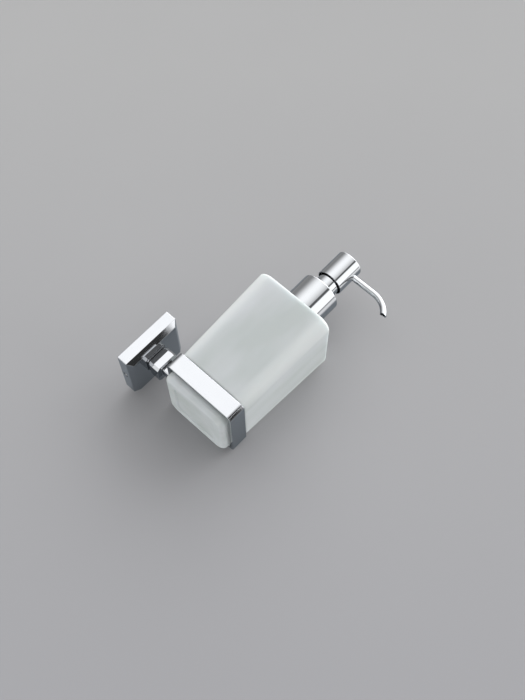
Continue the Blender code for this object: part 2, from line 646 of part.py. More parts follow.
def make_spring(axis):
    """Coil spring between the cylinder's step and the plunger, as one closed wire."""
    sides, steps_per_turn = 6, 16
    low = SPRING_SEAT + GAP + SPRING_WIRE
    high = SPRING_TOP - SPRING_WIRE
    total = SPRING_TURNS * steps_per_turn
    slope = (high - low) / (SPRING_TURNS * math.tau * SPRING_RADIUS)
    tilt = math.atan(slope)
    loops = []
    for step in range(total + 1):
        turn = math.tau * step / steps_per_turn
        outward = Vector((math.cos(turn), math.sin(turn), 0.0))
        along = Vector((-math.sin(turn) * math.cos(tilt), math.cos(turn) * math.cos(tilt), math.sin(tilt)))
        upward = outward.cross(along)
        centre = SPRING_RADIUS * outward + Vector((0, 0, low + (high - low) * step / total))
        ring = []
        for side in range(sides):
            angle = math.tau * side / sides
            ring.append(centre + SPRING_WIRE * (math.cos(angle) * outward + math.sin(angle) * upward))
        loops.append(ring)
    return place("return_spring", lofted(loops), STAINLESS, axis)


# ---------------------------------------------------------------- cap
def make_collar_shell(axis):
    """Chrome cap with a round top edge and a hole for the sleeve."""
    inner = COLLAR_RADIUS - COLLAR_SHEET
    hole = SLEEVE_RADIUS + GAP
    edge = arc((COLLAR_RADIUS - COLLAR_TOP_ROUND, COLLAR_TOP - COLLAR_TOP_ROUND), COLLAR_TOP_ROUND, 0, 90, 3)
    profile = [(inner, COLLAR_BOTTOM), (COLLAR_RADIUS, COLLAR_BOTTOM), *edge, (hole, COLLAR_TOP),
               (hole, COLLAR_TOP - COLLAR_SHEET), (inner, COLLAR_TOP - COLLAR_SHEET)]
    return place("collar_shell", turned(profile, ROUND_STEPS), CHROME, axis)


def make_collar_insert(axis):
    """Plastic screw cap that clamps the pump's flange and the gasket on the rim."""
    low = COLLAR_BOTTOM + INSERT_RISE
    high = INSERT_TOP_Z + INSERT_TOP
    hole = CYLINDER_RADIUS + GAP
    profile = [(INSERT_BORE, low), (INSERT_RADIUS, low), (INSERT_RADIUS, high), (hole, high),
               (hole, INSERT_TOP_Z), (INSERT_BORE, INSERT_TOP_Z)]
    return place("collar_insert", turned(profile, ROUND_STEPS), WHITE_PLASTIC, axis)


def make_sleeve(axis):
    """Chrome sleeve, held under the cap's top by its flange."""
    inner = SLEEVE_RADIUS - SLEEVE_SHEET
    low = SLEEVE_FLANGE_TOP - SLEEVE_FLANGE
    profile = [(inner, low), (SLEEVE_FLANGE_RADIUS, low), (SLEEVE_FLANGE_RADIUS, SLEEVE_FLANGE_TOP),
               (SLEEVE_RADIUS, SLEEVE_FLANGE_TOP), (SLEEVE_RADIUS, SLEEVE_TOP), (inner, SLEEVE_TOP)]
    return place("guide_sleeve", turned(profile, ROUND_STEPS), CHROME, axis)


# ---------------------------------------------------------------- plunger and head
def make_rod(axis):
    """Hollow rod with two flanges that hold the seal, and a short tail in the spring."""
    flange_low = SEAL_BOTTOM - GAP - ROD_FLANGE
    profile = [
        (ROD_BORE, flange_low - ROD_TAIL), (ROD_TAIL_RADIUS, flange_low - ROD_TAIL),
        (ROD_TAIL_RADIUS, flange_low),
        (ROD_FLANGE_RADIUS, flange_low), (ROD_FLANGE_RADIUS, flange_low + ROD_FLANGE),
        (ROD_RADIUS, flange_low + ROD_FLANGE), (ROD_RADIUS, ROD_FLANGE_TOP - ROD_FLANGE),
        (ROD_FLANGE_RADIUS, ROD_FLANGE_TOP - ROD_FLANGE), (ROD_FLANGE_RADIUS, ROD_FLANGE_TOP),
        (ROD_RADIUS, ROD_FLANGE_TOP), (ROD_RADIUS, ROD_TOP), (ROD_BORE, ROD_TOP),
    ]
    return place("piston_rod", turned(profile, SMALL_STEPS), WHITE_PLASTIC, axis)


def make_seal(axis):
    """Cup seal with a waist, between the rod's two flanges."""
    bore = ROD_RADIUS + GAP
    lip = CYLINDER_BORE - GAP
    waist = bore + SEAL_WAIST * (lip - bore)
    cone_end = SEAL_LIP + SEAL_CONE
    profile = [(bore, SEAL_BOTTOM), (lip, SEAL_BOTTOM), (lip, SEAL_BOTTOM + SEAL_LIP),
               (waist, SEAL_BOTTOM + cone_end), (waist, SEAL_TOP - cone_end), (lip, SEAL_TOP - SEAL_LIP),
               (lip, SEAL_TOP), (bore, SEAL_TOP)]
    return place("piston_seal", turned(profile, SMALL_STEPS), CLEAR_PLASTIC, axis)


def make_outlet_ball(axis):
    """Upper valve ball on the mouth of the rod's bore."""
    lift = math.sqrt((OUTLET_BALL_RADIUS + GAP) ** 2 - ROD_BORE ** 2)
    return make_ball("outlet_ball", OUTLET_BALL_RADIUS, ROD_TOP + lift, axis)


def make_head_core(axis):
    """Plastic plug in the head: rod socket, valve chamber and the way to the spout."""
    rod_hole = ROD_RADIUS + GAP
    chamber_top = ROD_TOP + OUTLET_CHAMBER_HEIGHT
    profile = [
        (0, CORE_TOP), (CORE_RADIUS, CORE_TOP), (CORE_RADIUS, CORE_BOTTOM), (rod_hole, CORE_BOTTOM),
        (rod_hole, ROD_TOP + GAP), (OUTLET_CHAMBER_RADIUS, ROD_TOP + GAP),
        (OUTLET_CHAMBER_RADIUS, chamber_top), (0, chamber_top),
    ]
    core = place("head_core", turned(profile, ROUND_STEPS), WHITE_PLASTIC, axis)
    y = PUMP_AXIS
    cut(core, rod_tool("core_spout_socket", SPOUT_RADIUS + GAP,
                       (0, y - CORE_RADIUS - CUT_SPARE, SPOUT_Z), (0, y - SPOUT_START + GAP, SPOUT_Z)))
    cut(core, rod_tool("core_passage", SPOUT_BORE,
                       (0, y - SPOUT_START - GAP, SPOUT_Z), (0, y, SPOUT_Z), steps=16))
    return core


def make_head_shell(axis):
    """Chrome cup over the core, with a round top edge and a side hole for the spout."""
    inner = HEAD_RADIUS - HEAD_SHEET
    edge = arc((HEAD_RADIUS - HEAD_TOP_ROUND, HEAD_TOP - HEAD_TOP_ROUND), HEAD_TOP_ROUND, 0, 90, 3)
    profile = [(inner, HEAD_RIM), (HEAD_RADIUS, HEAD_RIM), *edge, (0, HEAD_TOP),
               (0, HEAD_TOP - HEAD_SHEET), (inner, HEAD_TOP - HEAD_SHEET)]
    shell = place("head_shell", turned(profile, ROUND_STEPS), CHROME, axis)
    cut(shell, rod_tool("head_spout_hole", SPOUT_RADIUS + GAP,
                        (0, PUMP_AXIS - HEAD_RADIUS - CUT_SPARE, SPOUT_Z),
                        (0, PUMP_AXIS - SPOUT_START, SPOUT_Z)))
    return shell


def make_spout(axis):
    """Chrome tube: straight out of the head, then bent down, its end cut level."""
    bend_steps = 10
    path = [Vector((0, -SPOUT_START, SPOUT_Z))]
    directions = [Vector((0, -1, 0))]
    for step in range(bend_steps + 1):
        angle = SPOUT_BEND * step / bend_steps
        path.append(Vector((0, -SPOUT_STRAIGHT - SPOUT_BEND_RADIUS * math.sin(angle),
                            SPOUT_Z - SPOUT_BEND_RADIUS * (1 - math.cos(angle)))))
        directions.append(Vector((0, -math.cos(angle), -math.sin(angle))))
    tube = swept_tube(path, directions, SPOUT_RADIUS, SPOUT_BORE, 20)
    return place("spout_tube", tube, CHROME, axis)


def build():
    """Make every piece; the empties stand on the axes of the joints."""
    clear_scene()
    make_bracket()
    make_rose()
    make_grub_screw()
    make_post()
    make_ring()
    make_tie_bolt()
    make_washer()
    bottle_axis = empty("bottle_axis", (0, PUMP_AXIS, 0))
    pump_axis = empty("pump_axis", (0, 0, 0), bottle_axis)
    collar_axis = empty("collar_axis", (0, 0, 0), pump_axis)
    plunger_axis = empty("plunger_axis", (0, 0, 0), pump_axis)
    head_axis = empty("head_axis", (0, 0, 0), plunger_axis)
    make_bottle(bottle_axis)
    make_gasket(pump_axis)
    make_cylinder(pump_axis)
    make_cylinder_cap(pump_axis)
    make_dip_tube(pump_axis)
    make_inlet_ball(pump_axis)
    make_spring(pump_axis)
    make_collar_shell(collar_axis)
    make_collar_insert(collar_axis)
    make_sleeve(collar_axis)
    make_rod(plunger_axis)
    make_seal(plunger_axis)
    make_outlet_ball(plunger_axis)
    make_head_core(head_axis)
    make_head_shell(head_axis)
    make_spout(head_axis)


build()
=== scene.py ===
# %% [markdown]
# # A wall mounted soap dispenser
#
# A chrome holder carries a frosted glass bottle, and a push-down pump stands in the bottle's neck.
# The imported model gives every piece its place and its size. This lesson gives each piece its true
# surface, with the small edge rounds that make polished metal read as metal, and its finish.
#
# The frame comes first. Its box is kept, because the finished model has to keep the same size.

# %% Load the frame
import math

import bpy
import numpy as np
from mathutils import Matrix, Vector


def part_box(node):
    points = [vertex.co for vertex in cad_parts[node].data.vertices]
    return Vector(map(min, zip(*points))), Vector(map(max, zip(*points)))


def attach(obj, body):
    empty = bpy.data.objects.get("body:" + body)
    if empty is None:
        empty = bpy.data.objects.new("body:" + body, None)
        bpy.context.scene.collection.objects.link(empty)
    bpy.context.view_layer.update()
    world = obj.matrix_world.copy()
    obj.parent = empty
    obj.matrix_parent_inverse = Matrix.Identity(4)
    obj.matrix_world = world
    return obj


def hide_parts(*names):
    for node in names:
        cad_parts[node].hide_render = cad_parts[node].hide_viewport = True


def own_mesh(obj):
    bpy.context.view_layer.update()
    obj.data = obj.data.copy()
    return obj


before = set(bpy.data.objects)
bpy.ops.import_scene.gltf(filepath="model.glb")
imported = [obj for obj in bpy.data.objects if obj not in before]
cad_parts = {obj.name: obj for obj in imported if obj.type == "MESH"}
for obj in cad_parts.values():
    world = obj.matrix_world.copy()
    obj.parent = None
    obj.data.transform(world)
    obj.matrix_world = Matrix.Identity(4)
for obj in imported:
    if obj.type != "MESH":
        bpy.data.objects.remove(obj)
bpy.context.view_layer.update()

MM = 0.001

# %% [markdown]
# ## Places
#
# Lengths below are multiples of `MM`. A node's box tells how big it is and where it stands, and
# the pump's axis is the middle of the chrome cap. Distances from the wall are written as positive
# numbers here, although the object stands out along -Y.


# %% Read a node's box
def span(node):
    """Lowest and highest corner of a CAD node, as two arrays."""
    low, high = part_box(node)
    return np.array(low), np.array(high)


def turned_size(node):
    """Radius, bottom and top of a CAD node that stands on the pump's axis."""
    low, high = span(node)
    return (high[0] - low[0]) / 2, low[2], high[2]


cap_low, cap_high = span("collar_shell")
AXIS = (cap_low[1] + cap_high[1]) / 2

# %% [markdown]
# ## Surfaces from arrays
#
# Nearly every piece here is turned, drawn through a die or cast in a simple mould, so one outline
# carried round or along something describes it. An outline has few corners, and each corner gets
# an arc, because no real edge is perfectly sharp and a mirror finish shows that as a thin bright
# line. A Bevel modifier could round the edges too, but a formula keeps every round the size that
# is asked for, also where two of them meet.
#
# A mirror also shows the slightest error in a flat face. So beside each arc lies one more row of
# points, a hair further on, and the face's shading is level right up to it.

# %% Outlines with round corners
SUPPORT = 0.04 * MM


def unit(vectors):
    """Each vector divided by its length."""
    return vectors / np.linalg.norm(vectors, axis=-1, keepdims=True)


def rounded(corners, radius, closed=True, steps=5):
    """Replace an outline's corners by arcs.

    An arc's centre lies on the corner's bisector, at radius / sin(half the corner's angle), and
    its points turn evenly from one tangent point to the other. An open outline keeps its ends.
    """
    corners = np.asarray(corners, float)
    radius = np.broadcast_to(np.asarray(radius, float), len(corners))[:, None]
    before = unit(np.roll(corners, 1, axis=0) - corners)
    after = unit(np.roll(corners, -1, axis=0) - corners)
    half = np.arccos(np.clip((before * after).sum(-1, keepdims=True), -1, 1)) / 2
    reach = radius / np.tan(half)
    centre = corners + unit(before + after) * radius / np.sin(half)
    first = (corners + before * reach - centre)[:, None]
    last = (corners + after * reach - centre)[:, None]
    turn = (math.pi - 2 * half)[:, None]
    share = np.linspace(0, 1, steps + 1)[None, :, None]
    sweep = (np.sin((1 - share) * turn) * first + np.sin(share * turn) * last) / np.sin(turn)
    arcs = centre[:, None] + sweep
    lead = (corners + before * (reach + SUPPORT))[:, None]
    trail = (corners + after * (reach + SUPPORT))[:, None]
    runs = np.concatenate([lead, arcs, trail], axis=1)
    if closed:
        return runs.reshape(-1, corners.shape[1])
    inner = runs[1:-1].reshape(-1, corners.shape[1])
    return np.concatenate([corners[:1], inner, corners[-1:]])


print("a round corner has", len(rounded([(0, 0), (1, 0), (1, 1)], 0.1)) // 3, "points")

# %% [markdown]
# Three ways to carry an outline: spin it, send it round a square with round corners, or push a
# bevelled section along. Each gives a grid of points, rows by columns, whose columns close up.


# %% Spin an outline, or carry it round a square
def spun(outline, steps=96):
    """Points of an outline of (radius, height), spun: x = r cos t, y = r sin t, z = height."""
    outline = np.asarray(outline, float)
    turn = np.arange(steps) * math.tau / steps
    radius, height = outline[:, :1], outline[:, 1:2]
    return np.stack([radius * np.cos(turn), radius * np.sin(turn), height + 0 * turn], axis=-1)


def squared(outline, steps=6, support=SUPPORT):
    """Points of an outline of (half side, height, corner radius), carried round a square.

    Each quarter is an arc of the corner radius about (half - corner, half - corner). With a
    support, a point stands just past each end of the arc, to keep the flat side level.
    """
    outline = np.asarray(outline, float)
    half, height, corner = (outline[:, index, None, None] for index in range(3))
    quarter = np.arange(4)[:, None] * math.pi / 2
    if support:
        share = np.concatenate([[0], np.linspace(0, 1, steps + 1), [1]])
        past = np.concatenate([[-support], np.zeros(steps + 1), [support]])
    else:
        share = (np.arange(steps) + 0.5) / steps
        past = np.zeros(steps)
    angle = quarter + share * math.pi / 2
    side = np.sqrt(2) * np.stack([np.cos(quarter + math.pi / 4), np.sin(quarter + math.pi / 4)])
    across = side[0] * (half - corner) + corner * np.cos(angle) - past * np.sin(angle)
    along = side[1] * (half - corner) + corner * np.sin(angle) + past * np.cos(angle)
    grid = np.stack([across, along, height + 0 * across], axis=-1)
    return grid.reshape(len(outline), -1, 3)


print("spun grid", spun([(1, 0), (1, 1)]).shape, "square grid", squared([(1, 0, 0.1), (1, 1, 0.1)]).shape)

# %% [markdown]
# A bar with cut edges keeps the width of those edges when its section shrinks, as at a step or at
# a rounded end. Each corner then slides along the sum of its two sides' normals.


# %% Push a bevelled section along
def bar(corners, edge, steps_along):
    """Points of a section carried along, with rows of (inset, height).

    A corner between sides with normals m and n moves inwards by inset * (m + n) / (1 + m.n).
    """
    corners = np.asarray(corners, float)
    steps_along = np.asarray(steps_along, float)
    sides = unit(np.roll(corners, -1, axis=0) - corners)
    normals = np.stack([sides[:, 1], -sides[:, 0]], axis=-1)
    earlier = np.roll(normals, 1, axis=0)
    shift = (normals + earlier) / (1 + (normals * earlier).sum(-1, keepdims=True))
    outline = rounded(corners, edge, steps=3).reshape(len(corners), -1, 2)
    inset, height = steps_along[:, 0, None, None, None], steps_along[:, 1, None, None]
    flat = outline[None] - inset * shift[None, :, None]
    grid = np.concatenate([flat, np.broadcast_to(height, flat.shape[:3])[..., None]], axis=-1)
    return grid.reshape(len(steps_along), -1, 3)


def bevelled_square(half, bevel):
    """Corners of a square with cut edges, counter-clockwise."""
    flat = half - bevel
    first = np.array([(half, -flat), (half, flat)])
    quarters = [first @ np.array([[math.cos(a), math.sin(a)], [-math.sin(a), math.cos(a)]])
                for a in np.arange(4) * math.pi / 2]
    return np.concatenate(quarters)


print("bevelled square:", np.round(bevelled_square(1.0, 0.2), 2).tolist())

# %% [markdown]
# A grid becomes a mesh in one go. Rows that end in a point get a pole, other ends get one flat
# face, and a ring-shaped piece joins its last row to its first. Whether the faces look outwards
# is decided by the volume that they enclose: if it comes out negative, they are turned.


# %% Turn a grid into a piece
def upright(grid, y=AXIS):
    """Stand a grid on the pump's axis."""
    return grid + np.array([0.0, y, 0.0])


def facing_wall(grid):
    """Lay a grid so that its height is the distance from the wall, and its second axis is up."""
    return np.stack([grid[..., 0], -grid[..., 2], grid[..., 1]], axis=-1)


def mesh_from(name, grid, ring=False):
    """A mesh whose quads join neighbours in the grid, with closed ends and outward faces."""
    pole = [not ring and np.ptp(grid[row], axis=0).max() < 1e-9 for row in (0, -1)]
    tips = [grid[row, 0] for row, is_pole in zip((0, -1), pole) if is_pole]
    grid = grid[int(pole[0]):len(grid) - int(pole[1])]
    rows, columns = grid.shape[:2]
    index = np.arange(rows * columns).reshape(rows, columns)
    beside = np.roll(index, -1, axis=1)
    count = rows if ring else rows - 1
    above, above_beside = np.roll(index, -1, axis=0), np.roll(beside, -1, axis=0)
    quads = np.stack([index, beside, above_beside, above], axis=-1)[:count].reshape(-1, 4)
    points = np.concatenate([grid.reshape(-1, 3), *[tip[None] for tip in tips]])
    corners = points[quads]
    volume = sum(np.einsum("ij,ij->i", corners[:, 0], np.cross(corners[:, a], corners[:, a + 1])).sum()
                 for a in (1, 2))
    faces = quads.tolist()
    ends = [] if ring else [(index[0][::-1], pole[0], len(grid.reshape(-1, 3))),
                            (index[-1], pole[1], len(points) - 1)]
    for loop, is_pole, tip in ends:
        if is_pole:
            fan = np.stack([loop, np.roll(loop, -1), np.full(columns, tip)], axis=-1)
            faces += fan.tolist()
            three = points[fan]
            volume += np.einsum("ij,ij->i", three[:, 0], np.cross(three[:, 1], three[:, 2])).sum()
        else:
            faces.append(loop.tolist())
            area = np.cross(points[loop], points[np.roll(loop, -1)]).sum(0)
            volume += points[loop].mean(0) @ area
    if volume < 0:
        faces = [face[::-1] for face in faces]
    mesh = bpy.data.meshes.new(name)
    mesh.from_pydata(points.tolist(), [], faces)
    mesh.validate()
    return mesh


SHARP = math.radians(38.0)


def piece(name, grid, look, body, node, ring=False):
    """A finished piece: smooth shading with crisp edges, a finish, and its place in the frame."""
    made = bpy.data.objects.new(name, mesh_from(name, grid, ring))
    bpy.context.scene.collection.objects.link(made)
    made.data.shade_smooth()
    made.data.set_sharp_from_angle(angle=SHARP)
    made.data.materials.append(look)
    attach(made, body)
    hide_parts(node)
    return made


def turned(name, points, rounds, look, body, node, steps=96):
    """A ring-shaped piece turned about the pump's axis, from an outline and its rounds in mm."""
    outline = rounded(points, np.asarray(rounds) * MM)
    return piece(name, upright(spun(outline, steps)), look, body, node, ring=True)


def carve(target, grid, operation="DIFFERENCE"):
    """Cut a grid's solid out of a piece, or join it on, and keep only the result."""
    tool = bpy.data.objects.new("tool", mesh_from("tool", grid))
    bpy.context.scene.collection.objects.link(tool)
    change = target.modifiers.new("carve", "BOOLEAN")
    change.operation = operation
    change.solver = "EXACT"
    change.object = tool
    bpy.context.view_layer.update()
    shaped = target.evaluated_get(bpy.context.evaluated_depsgraph_get())
    mesh = bpy.data.meshes.new_from_object(shaped)
    target.modifiers.clear()
    target.data = mesh
    mesh.shade_smooth()
    mesh.set_sharp_from_angle(angle=SHARP)
    bpy.data.objects.remove(tool, do_unlink=True)
    return target


def pin(radius, start, end, steps=48):
    """Grid of a plain round pin from one height to another."""
    return spun([(radius, start), (radius, end)], steps)


print("edges sharper than", round(math.degrees(SHARP)), "degrees stay crisp")

# %% [markdown]
# ## Colours and nodes
#
# Colours are written as the hex values that a painter would pick and turned into linear light
# once. One function adds a node with its settings, values and links.


# %% Colour and node helpers
def linear(hex_colour):
    """Linear RGBA of an sRGB hex colour: divide by 12.92 below 0.04045, else the 2.4 power curve."""
    channels = np.array([int(hex_colour[index:index + 2], 16) for index in (1, 3, 5)]) / 255
    low, high = channels / 12.92, ((channels + 0.055) / 1.055) ** 2.4
    return (*np.where(channels <= 0.04045, low, high).tolist(), 1.0)


def add(tree, kind, values=None, **settings):
    """Add a node. Settings are its properties, and values fill its sockets or link to them.

    A node among the values stands for its first output.
    """
    node = tree.nodes.new("ShaderNode" + kind)
    for key, value in settings.items():
        setattr(node, key, value)
    for key, value in (values or {}).items():
        if isinstance(value, bpy.types.Node):
            value = value.outputs[0]
        if isinstance(value, bpy.types.NodeSocket):
            tree.links.new(value, node.inputs[key])
        else:
            node.inputs[key].default_value = value
    return node


def finish(name, slot, **values):
    """A material with a Principled shader whose own sockets hold the given constants."""
    look = bpy.data.materials.new(name)
    look.use_nodes = True
    shader = look.node_tree.nodes["Principled BSDF"]
    for key, value in values.items():
        shader.inputs[key.replace("_", " ")].default_value = value
    return look, look.node_tree, shader


def dress(tree, shader, colour, gloss, relief):
    """Lead a pattern's colour, roughness and bump into the shader."""
    tree.links.new(colour.outputs["Color"], shader.inputs["Base Color"])
    tree.links.new(gloss.outputs["Result"], shader.inputs["Roughness"])
    tree.links.new(relief.outputs["Normal"], shader.inputs["Normal"])


print("white is", [round(value, 2) for value in linear("#FFFFFF")])

# %% [markdown]
# ## Chrome on cast zinc
#
# Rose, post and ring are die cast in zinc, ground flat, buffed and chrome plated. Plating hides
# nothing: the surface is a mirror, with the gentle waves that the buffing wheel leaves in a flat
# face and a trace of haze where it was wiped. A clean mirror is one node, but then it looks
# computed, so two noises shape it: a broad shallow one bends the reflections a little, and a
# finer one varies the gloss.

# %% Cast chrome
CHROME_TINT = "#C1C3C5"
BUFF_WAVE = 9.0          # mm from crest to crest
HAZE_PATCH = 14.0
cast_chrome, tree, shader = finish("Chrome plated zinc, cast and buffed", "polished_chrome", Metallic=1.0)
place = add(tree, "TexCoord").outputs["Object"]
wave = add(tree, "TexNoise", {"Vector": place, "Scale": 1 / (BUFF_WAVE * MM), "Detail": 1.0})
haze = add(tree, "TexNoise", {"Vector": place, "Scale": 1 / (HAZE_PATCH * MM), "Detail": 5.0,
                              "Roughness": 0.6})
gloss = add(tree, "MapRange", {"Value": haze, "From Min": 0.35, "From Max": 0.75,
                               "To Min": 0.025, "To Max": 0.075})
tint = add(tree, "MixRGB", {"Fac": haze, "Color1": linear(CHROME_TINT), "Color2": linear("#BCBEC1")})
relief = add(tree, "Bump", {"Height": wave, "Strength": 0.02, "Distance": 0.4 * MM})
dress(tree, shader, tint, gloss, relief)
print("made", cast_chrome.name)

# %% [markdown]
# ## Chrome on turned brass
#
# Cap, sleeve, head and spout are turned or drawn from brass tube. A lathe leaves no waves, but
# polishing on the spindle leaves very fine rings round the axis. Real ones lie a few hundredths
# of a millimetre apart, too fine to show, so they are drawn 0.5 mm apart and almost flat.

# %% Turned chrome
LATHE_RING = 0.5         # mm
turned_chrome, tree, shader = finish("Chrome plated brass, turned and polished", "polished_chrome",
                                     Metallic=1.0)
place = add(tree, "TexCoord").outputs["Object"]
stretch = add(tree, "Mapping", {"Vector": place, "Scale": (0.04, 0.04, 1.0)})
rings = add(tree, "TexNoise", {"Vector": stretch, "Scale": 1 / (LATHE_RING * MM), "Detail": 2.0})
haze = add(tree, "TexNoise", {"Vector": place, "Scale": 1 / (HAZE_PATCH * MM), "Detail": 4.0})
worn = add(tree, "Math", {0: rings, 1: haze}, operation="MULTIPLY")
gloss = add(tree, "MapRange", {"Value": worn, "From Min": 0.12, "From Max": 0.45,
                               "To Min": 0.03, "To Max": 0.09})
tint = add(tree, "MixRGB", {"Fac": haze, "Color1": linear(CHROME_TINT), "Color2": linear("#BDBFC1")})
relief = add(tree, "Bump", {"Height": rings, "Strength": 0.02, "Distance": 0.02 * MM})
dress(tree, shader, tint, gloss, relief)
print("made", turned_chrome.name)

# %% [markdown]
# ## Acid etched glass
#
# The bottle is thick pressed soda-lime glass, etched in acid on the outside. The etched skin
# scatters the light, so the bottle glows softly and has no sharp highlight. True refraction
# through two rough skins would need thousands of samples to come out clean. Light scattered
# inside a pale body, with a little transmission, gives the same glow and hides what is behind.
# The corners hold more glass and catch more light, so the colour is painted lighter towards them:
# painted light on the thicker glass. Seen along its skin the glass is greener and darker, which
# Layer Weight tells. Faint clouds run up the walls, as the glass was drawn in the mould.

# %% Frosted glass
ETCH_GRAIN = 0.35        # mm; the real grain is finer, this is the coarsest that still looks even
CLOUD, CLOUD_STRETCH = 22.0, 0.3        # mm, and how much longer the clouds are along the bottle
CORNER_GLOW_FROM, CORNER_GLOW_TO = 19.0, 30.0     # mm from the middle, on both sides at once
frosted, tree, shader = finish("Soda-lime glass, pressed and acid etched", "frosted_glass", IOR=1.5,
                               Transmission_Weight=0.1, Specular_IOR_Level=0.3, Subsurface_Weight=0.6,
                               Subsurface_Scale=12 * MM, Subsurface_Radius=(0.9, 1.0, 1.0))
place = add(tree, "TexCoord").outputs["Object"]
drawn = add(tree, "Mapping", {"Vector": place, "Scale": (1.0, 1.0, CLOUD_STRETCH)})
cloud = add(tree, "TexNoise", {"Vector": drawn, "Scale": 1 / (CLOUD * MM), "Detail": 2.0})
cloudy = add(tree, "MapRange", {"Value": cloud, "From Min": 0.35, "From Max": 0.65})
body = add(tree, "MixRGB", {"Fac": cloudy, "Color1": linear("#B3B9B8"), "Color2": linear("#C1C5C7")})
from_axis = add(tree, "VectorMath", {0: place, 1: (0.0, -AXIS, 0.0)}, operation="ADD")
sides = add(tree, "SeparateXYZ", {0: from_axis})
reach = [add(tree, "Math", {0: sides.outputs[axis]}, operation="ABSOLUTE") for axis in ("X", "Y")]
nearest = add(tree, "Math", {0: reach[0], 1: reach[1]}, operation="MINIMUM")
# painted light: the glass colour gets lighter towards the corners, where the thicker glass catches more
# light
corner = add(tree, "MapRange", {"Value": nearest, "From Min": CORNER_GLOW_FROM * MM,
                                "From Max": CORNER_GLOW_TO * MM, "To Min": 0.0, "To Max": 0.8},
             interpolation_type="SMOOTHSTEP")
corners_painted_lighter = add(tree, "MixRGB", {"Fac": corner, "Color1": body, "Color2": linear("#D2D6D5")})
side_on = add(tree, "MapRange", {"Value": add(tree, "LayerWeight").outputs["Facing"],
                                 "From Min": 0.6, "From Max": 0.97, "To Min": 0.0, "To Max": 0.45})
green = add(tree, "MixRGB", {"Fac": side_on, "Color1": corners_painted_lighter, "Color2": linear("#8F9A95")})
grain = add(tree, "TexNoise", {"Vector": place, "Scale": 1 / (ETCH_GRAIN * MM), "Detail": 3.0})
gloss = add(tree, "MapRange", {"Value": grain, "From Min": 0.3, "From Max": 0.7,
                               "To Min": 0.6, "To Max": 0.76})
relief = add(tree, "Bump", {"Height": grain, "Strength": 0.12, "Distance": 0.03 * MM})
dress(tree, shader, green, gloss, relief)
print("made", frosted.name)

# %% [markdown]
# ## Plastics and rubber
#
# The pump's body, rod and inserts are moulded in polypropylene: white, satin, and a little cloudy
# where the melt flowed. The dip tube and the cup seal are natural polyethylene, milky and a bit
# see-through. The gasket is grey silicone, quite dull.

# %% Moulded plastics and silicone
MELT_CLOUD, SPARK_GRAIN = 7.0, 0.25     # mm


def moulded(name, slot, light, dark, rough, **values):
    """A moulded plastic: two close colours in soft clouds, and the fine grain of its mould."""
    look, nodes, surface = finish(name, slot, **values)
    where = add(nodes, "TexCoord").outputs["Object"]
    melt = add(nodes, "TexNoise", {"Vector": where, "Scale": 1 / (MELT_CLOUD * MM), "Detail": 3.0})
    spark = add(nodes, "TexNoise", {"Vector": where, "Scale": 1 / (SPARK_GRAIN * MM), "Detail": 2.0})
    colour = add(nodes, "MixRGB", {"Fac": melt, "Color1": linear(light), "Color2": linear(dark)})
    sheen = add(nodes, "MapRange", {"Value": spark, "From Min": 0.3, "From Max": 0.7,
                                    "To Min": rough - 0.06, "To Max": rough + 0.06})
    relief = add(nodes, "Bump", {"Height": spark, "Strength": 0.1, "Distance": 0.02 * MM})
    dress(nodes, surface, colour, sheen, relief)
    return look


white_plastic = moulded("Polypropylene, white, moulded", "white_plastic", "#EDEDEA", "#E2E2DE", 0.38,
                        IOR=1.49)
milky_plastic = moulded("Polyethylene, natural, extruded", "natural_plastic", "#DDE1DF", "#D0D5D3", 0.34,
                        IOR=1.51, Transmission_Weight=0.45)
silicone = moulded("Silicone rubber, grey, moulded", "grey_silicone", "#969A9D", "#888C90", 0.62, IOR=1.41)
print("made", white_plastic.name, "|", milky_plastic.name, "|", silicone.name)

# %% [markdown]
# ## Steel
#
# The hidden bracket and washer are pressed steel with bright zinc plating: grey, faintly blue,
# cloudy, with the grain of the rolled sheet. Screws, valve balls and spring are stainless steel,
# brighter and smoother.

# %% Plated and stainless steel
ROLLING_LINE = 0.4       # mm
steels = []
for name, slot, light, dark, rough in (
        ("Zinc plated steel sheet, pressed", "plated_steel", "#B9BFC6", "#9299A2", 0.34),
        ("Stainless steel, turned and drawn", "stainless_steel", "#C9C8C4", "#B2B1AD", 0.22)):
    look, tree, shader = finish(name, slot, Metallic=1.0)
    place = add(tree, "TexCoord").outputs["Object"]
    drawn = add(tree, "Mapping", {"Vector": place, "Scale": (0.05, 1.0, 1.0)})
    lines = add(tree, "TexNoise", {"Vector": drawn, "Scale": 1 / (ROLLING_LINE * MM), "Detail": 3.0})
    cloud = add(tree, "TexNoise", {"Vector": place, "Scale": 1 / (MELT_CLOUD * MM), "Detail": 4.0})
    colour = add(tree, "MixRGB", {"Fac": cloud, "Color1": linear(light), "Color2": linear(dark)})
    gloss = add(tree, "MapRange", {"Value": lines, "From Min": 0.3, "From Max": 0.7,
                                   "To Min": rough - 0.06, "To Max": rough + 0.08})
    relief = add(tree, "Bump", {"Height": lines, "Strength": 0.1, "Distance": 0.03 * MM})
    dress(tree, shader, colour, gloss, relief)
    steels.append(look)
zinc_steel, stainless = steels
print("made", zinc_steel.name, "|", stainless.name)

# %% [markdown]
# ## The rose
#
# The rose is a square cover, open at the wall, with a bevel round its front. Its outline runs
# from the middle of the front over the bevel and the side, round the back rim and up the inside.
# It is carried round a square. The bolt's hole and the set screw's hole are cut afterwards,
# because a round hole in a flat side doesn't fit a square grid.

# %% Rose cover
CAST_EDGE = 0.3 * MM
ROSE_SHEET = 2.0 * MM
ROSE_BEVEL_DEPTH = 3.6 * MM
ROSE_BEVEL_INSET = 3.8 * MM
ROSE_CORNER = 0.5 * MM
CAP_HALF = 5.0 * MM       # the middle of a flat end is one face of this half width

